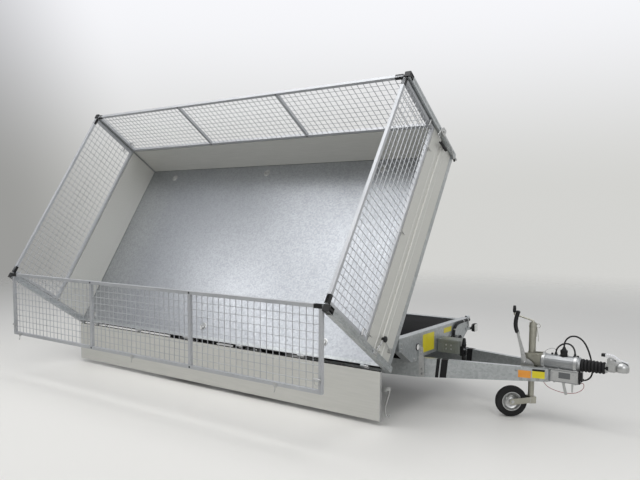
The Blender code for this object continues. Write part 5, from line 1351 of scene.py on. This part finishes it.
def rim(name, body, centre, side, replaces):
    """A pressed steel wheel with round holes, its hub, nuts and cap."""
    form = Form()

    def ring(points, steps=64):
        form.turned([(side * a, r) for a, r in points], centre, "Y", steps, True)

    ring(((-0.0645, 0.1283), (-0.0645, 0.124), (-0.056, 0.117), (-0.03, 0.1135), (0.03, 0.1135),
          (0.056, 0.117), (0.0645, 0.124), (0.0645, 0.1283), (0.061, 0.1283), (0.052, 0.1205),
          (0.03, 0.117), (-0.03, 0.117), (-0.052, 0.1205), (-0.061, 0.1283)))
    ring(((0.024, 0.108), (0.014, 0.1145), (0.01, 0.1145), (0.02, 0.106), (0.024, 0.104), (0.0278, 0.104)))
    ring(((0.0278, 0.067), (0.024, 0.067), (0.024, 0.062), (0.036, 0.052), (0.036, 0.0215), (0.04, 0.0215),
          (0.0405, 0.054), (0.03, 0.0655)))
    holes = 10
    for k in range(holes):
        middle = 2 * math.pi * k / holes
        span = math.pi / holes
        inner, outer = 0.066, 0.105
        half_way = 0.5 * (inner + outer)
        corners = [(inner, -span), (inner, 0.0), (inner, span), (half_way, span), (outer, span),
                   (outer, span * 0.5), (outer, 0.0), (outer, -span * 0.5), (outer, -span),
                   (half_way, -span)]
        edge = [(r * math.sin(middle + a), r * math.cos(middle + a)) for r, a in corners]
        hole = []
        for r, a in corners:
            local = Vector((r * math.sin(a), r * math.cos(a) - half_way)).normalized() * 0.0105
            u, v = local.x, local.y + half_way
            hole.append((u * math.cos(middle) + v * math.sin(middle),
                         v * math.cos(middle) - u * math.sin(middle)))
        form.sleeve("Y", [(centre[0] + u, centre[2] + v) for u, v in edge],
                    [(centre[0] + u, centre[2] + v) for u, v in hole], centre[1] + side * 0.024,
                    centre[1] + side * 0.0278)
    nuts = 5
    for k in range(nuts):
        a = 2 * math.pi * k / nuts
        spot_on = Vector(centre) + Vector((0.041 * math.sin(a), side * 0.04, 0.041 * math.cos(a)))
        form.turned(((-0.002, 0.0), (-0.002, 0.0085), (0.003, 0.0085), (0.003, 0.0075), (0.012, 0.0075),
                     (0.014, 0.006), (0.015, 0.0)), spot_on, (0.0, side, 0.0), 6)
    ring(((0.038, 0.0213), (0.038, 0.03), (0.05, 0.029), (0.056, 0.027), (0.056, 0.0213)), 40)
    form.turned(((0.0555, 0.0), (0.0555, 0.0245), (0.06, 0.024), (0.064, 0.019), (0.066, 0.01),
                 (0.0664, 0.0)), centre, (0.0, side, 0.0), 40)
    piece(name, form, ZINC, body, CHASSIS, replaces, sharp=35)


def make_wheels():
    """Tyres and rims of the road wheels and the jockey wheel, and the fork's bolts and welds."""
    for end, x in zip(("rear", "front"), WHEELS_X):
        for name, side in SIDES:
            centre = (x, side * TRACK / 2, TYRE_RADIUS)
            tyre(f"tyre_{end}_{name}_tread", f"wheel_{end}_{name}", CHASSIS, centre, TYRE_RADIUS,
                 RIM_RADIUS + 0.0004, TYRE_WIDTH, 44, (f"tyre_{end}_{name}",))
            rim(f"rim_{end}_{name}_disc", f"wheel_{end}_{name}", centre, side, (f"rim_{end}_{name}",))
    centre = (MAST_X - JOCKEY_TRAIL, 0.0, JOCKEY_RADIUS)
    tyre("jockey_tyre_tread", "jockey_wheel", FORK, centre, JOCKEY_RADIUS, 0.0685, JOCKEY_WIDTH, 0,
         ("jockey_tyre",))
    half = JOCKEY_WIDTH / 2
    form = Form().turned(((-half * 0.8, 0.068), (-half * 0.8, 0.063), (-0.01, 0.056), (-0.004, 0.048),
                          (-0.003, 0.026), (-0.006, 0.018), (-half, 0.016), (-half, 0.0085), (half, 0.0085),
                          (half, 0.016), (0.006, 0.018), (0.003, 0.026), (0.004, 0.048), (0.01, 0.056),
                          (half * 0.8, 0.063), (half * 0.8, 0.068), (half * 0.6, 0.068), (0.0, 0.062),
                          (-half * 0.6, 0.068)), centre, "Y", 48, True)
    dimples = 6
    for k in range(dimples):
        turn = Matrix.Rotation(2 * math.pi * k / dimples, 4, "Y")
        for side in (-1, 1):
            spot_on = Vector(centre) + turn @ Vector((0.0, side * 0.003, 0.037))
            form.knob(((-0.001, 0.0072), (0.0015, 0.0064)), spot_on, (0.0, side, 0.0), 16)
    piece("jockey_rim_disc", form, ZINC, "jockey_wheel", FORK, ("jockey_rim",), sharp=35)
    bolts = Form()
    gap = JOCKEY_WIDTH / 2 + 0.011
    for side in (-1, 1):
        bolts.bolt((centre[0], side * gap, JOCKEY_RADIUS), (0.0, side, 0.0), 0.01)
        bolts.bead((MAST_X - 0.016, side * (gap - 0.001), FORK_TOP - 0.044),
                   (MAST_X - 0.016, side * (gap - 0.001), FORK_TOP), 0.0022)
    piece("jockey_fork_bolts", bolts, ZINC, "jockey_fork_body", FORK)


def make_axle_parts():
    """Bolts of the axles' pads and drums, the drums' ribs, the brake rod with its cables, and the wiring."""
    metal = Form()
    for wheel_x in WHEELS_X:
        tube_x = wheel_x + ARM_LENGTH
        for side in (-1, 1):
            for x in (tube_x - 0.036, tube_x + 0.036):
                metal.bolt((x, side * (RAIL_OUTER - 0.029), 0.42), (0.0, side, 0.0), 0.01)
            for k in range(DRUM_BOLTS):
                a = 2 * math.pi * k / DRUM_BOLTS + 0.2
                metal.bolt((wheel_x + 0.07 * math.cos(a), side * 0.5385, TYRE_RADIUS + 0.07 * math.sin(a)),
                           (0.0, -side, 0.0), 0.005)
            metal.band((wheel_x, side * 0.54 - (0.006 if side < 0 else 0.0), TYRE_RADIUS), "Y", 0.0, 0.006,
                       0.084, 0.0885, 48)
    fixed("axle_fasteners", metal, ZINC)
    lines = Form()
    for side in (-1, 1):
        for wheel_x in WHEELS_X:
            lines.tube(smooth_path(((wheel_x + 0.06, side * 0.535, 0.27),
                                    (wheel_x + 0.09, side * 0.52, 0.268),
                                    (wheel_x + 0.15, side * 0.44, 0.292),
                                    (wheel_x + 0.2, side * 0.25 + BRAKE_ROD_Y * 0.5, 0.3),
                                    (wheel_x + 0.235, side * 0.06 + BRAKE_ROD_Y, 0.306),
                                    (wheel_x + 0.3, side * 0.03 + BRAKE_ROD_Y, 0.318)), 4), 0.0045, 10)
    lines.rod((1.56, BRAKE_ROD_Y, 0.318), (2.34, BRAKE_ROD_Y, 0.318), 0.006, 12)
    for x in (1.57, 2.32):
        lines.box((x - 0.03, x + 0.03), (BRAKE_ROD_Y - 0.045, BRAKE_ROD_Y + 0.045), (0.312, 0.324))
    lines.tube(smooth_path(((0.1, 0.478, 0.535), (0.6, 0.478, 0.535), (1.4, 0.478, 0.535),
                            (2.2, 0.478, 0.53), (2.43, 0.478, 0.47)), 3), 0.009, 12)
    fixed("brake_lines", lines, RUBBER)


def make_rear_lamps():
    """Rear lamps, plate lamps, reflectors and bolts on the lamp board, and the side reflectors."""
    low, high = BEAM_LOW - 0.118, BEAM_LOW - 0.048
    housing = Form()
    for _, side in SIDES:
        housing.prism("X", rounded((side * 0.5, side * 0.65), (low, high), 0.01), -0.008, 0.0077)
        housing.box((-0.014, 0.0047), (side * 0.27, side * 0.3), (0.4, 0.424))
    fixed("rear_lamp_housings", housing, PLASTIC, ("tail_lamp_right",), 0.0015)
    for name, look, spans in (("red", LAMP_RED, (0.503, 0.56)), ("amber", LAMP_AMBER, (0.561, 0.603)),
                              ("clear", LAMP_CLEAR, (0.604, 0.647))):
        lens = Form()
        for _, side in SIDES:
            outline = rounded((side * spans[0], side * spans[1]), (low + 0.003, high - 0.003), 0.006)
            lens.prism("X", outline, -0.0218, -0.007)
        replaced = ("tail_lamp_left",) if name == "red" else ()
        fixed(f"rear_lamp_lens_{name}", lens, look, replaced, 0.003)
    reflectors = Form()
    for _, side in SIDES:
        triangle = ((side * 0.335, 0.338), (side * 0.425, 0.338), (side * 0.38, 0.416))
        reflectors.prism("X", triangle, -0.001, 0.0085)
    fixed("rear_reflectors", reflectors, LAMP_RED, bevel=0.002)
    sides = Form()
    for _, side in SIDES:
        for x in (0.62, 2.62):
            sides.prism("Y", rounded((x - 0.045, x + 0.045), (0.5, 0.535), 0.006),
                        *sorted((side * 0.5445, side * 0.551)))
    fixed("side_reflectors", sides, LAMP_AMBER, bevel=0.0015)
    bolts = Form()
    for point in ((0.008, -0.35, 0.425), (0.005, -0.22, 0.345), (0.005, 0.22, 0.345), (0.008, 0.35, 0.425)):
        bolts.bolt(point, BACKWARD, 0.005)
    fixed("rear_board_bolts", bolts, ZINC)


def make_ram_parts():
    """Gland rings where each stage of the ram leaves the one below."""
    for number, name, body, radius, low in ((0, "barrel", "ram_barrel_body", 0.0526, -0.014),
                                            (1, "stage_1", "ram_stage_one", 0.043, 0.021),
                                            (2, "stage_2", "ram_stage_two", 0.0334, 0.021)):
        low, high = low + number * STAGE_TRAVEL, 0.03 + number * STAGE_TRAVEL
        section = ((low, radius), (low, radius + 0.0045), (high - 0.002, radius + 0.0045),
                   (high, radius + 0.0025), (high, radius))
        ring = Form().turned(section, (RAM_X, 0.0, TRUNNION_Z), "Z", 40, True)
        piece(f"ram_gland_{name}", ring, ZINC, body, RAM)


make_front_beam_parts()
make_pump()
make_marker_lamp()
make_drawbar_parts()
make_housing_parts()
make_coupling_head()
make_brake_lever()
make_jockey()
make_wheels()
make_axle_parts()
make_rear_lamps()
make_ram_parts()

for name in ("front_beam", "rear_beam", "side_rail_right", "side_rail_left", "drawbar_rail_right",
             "drawbar_rail_left", "ram_cradle", "axle_front", "axle_rear", "lamp_board"):
    dress(name, GALVANISED, 0.002)
for name, look, bevel in (("overrun_housing", CASTING, 0.0015), ("jockey_mast", PASSIVATED, 0.001),
                          ("jockey_tube", PASSIVATED, 0.0), ("jockey_fork", PASSIVATED, 0.001),
                          ("ram_barrel", GALVANISED, 0.0), ("ram_stage_1", CHROME, 0.0),
                          ("ram_stage_2", CHROME, 0.0), ("ram_rod", CHROME, 0.0)):
    dress(name, look, bevel)

view = bpy.context.scene.view_settings
view.view_transform = "Standard"
bpy.context.view_layer.update()
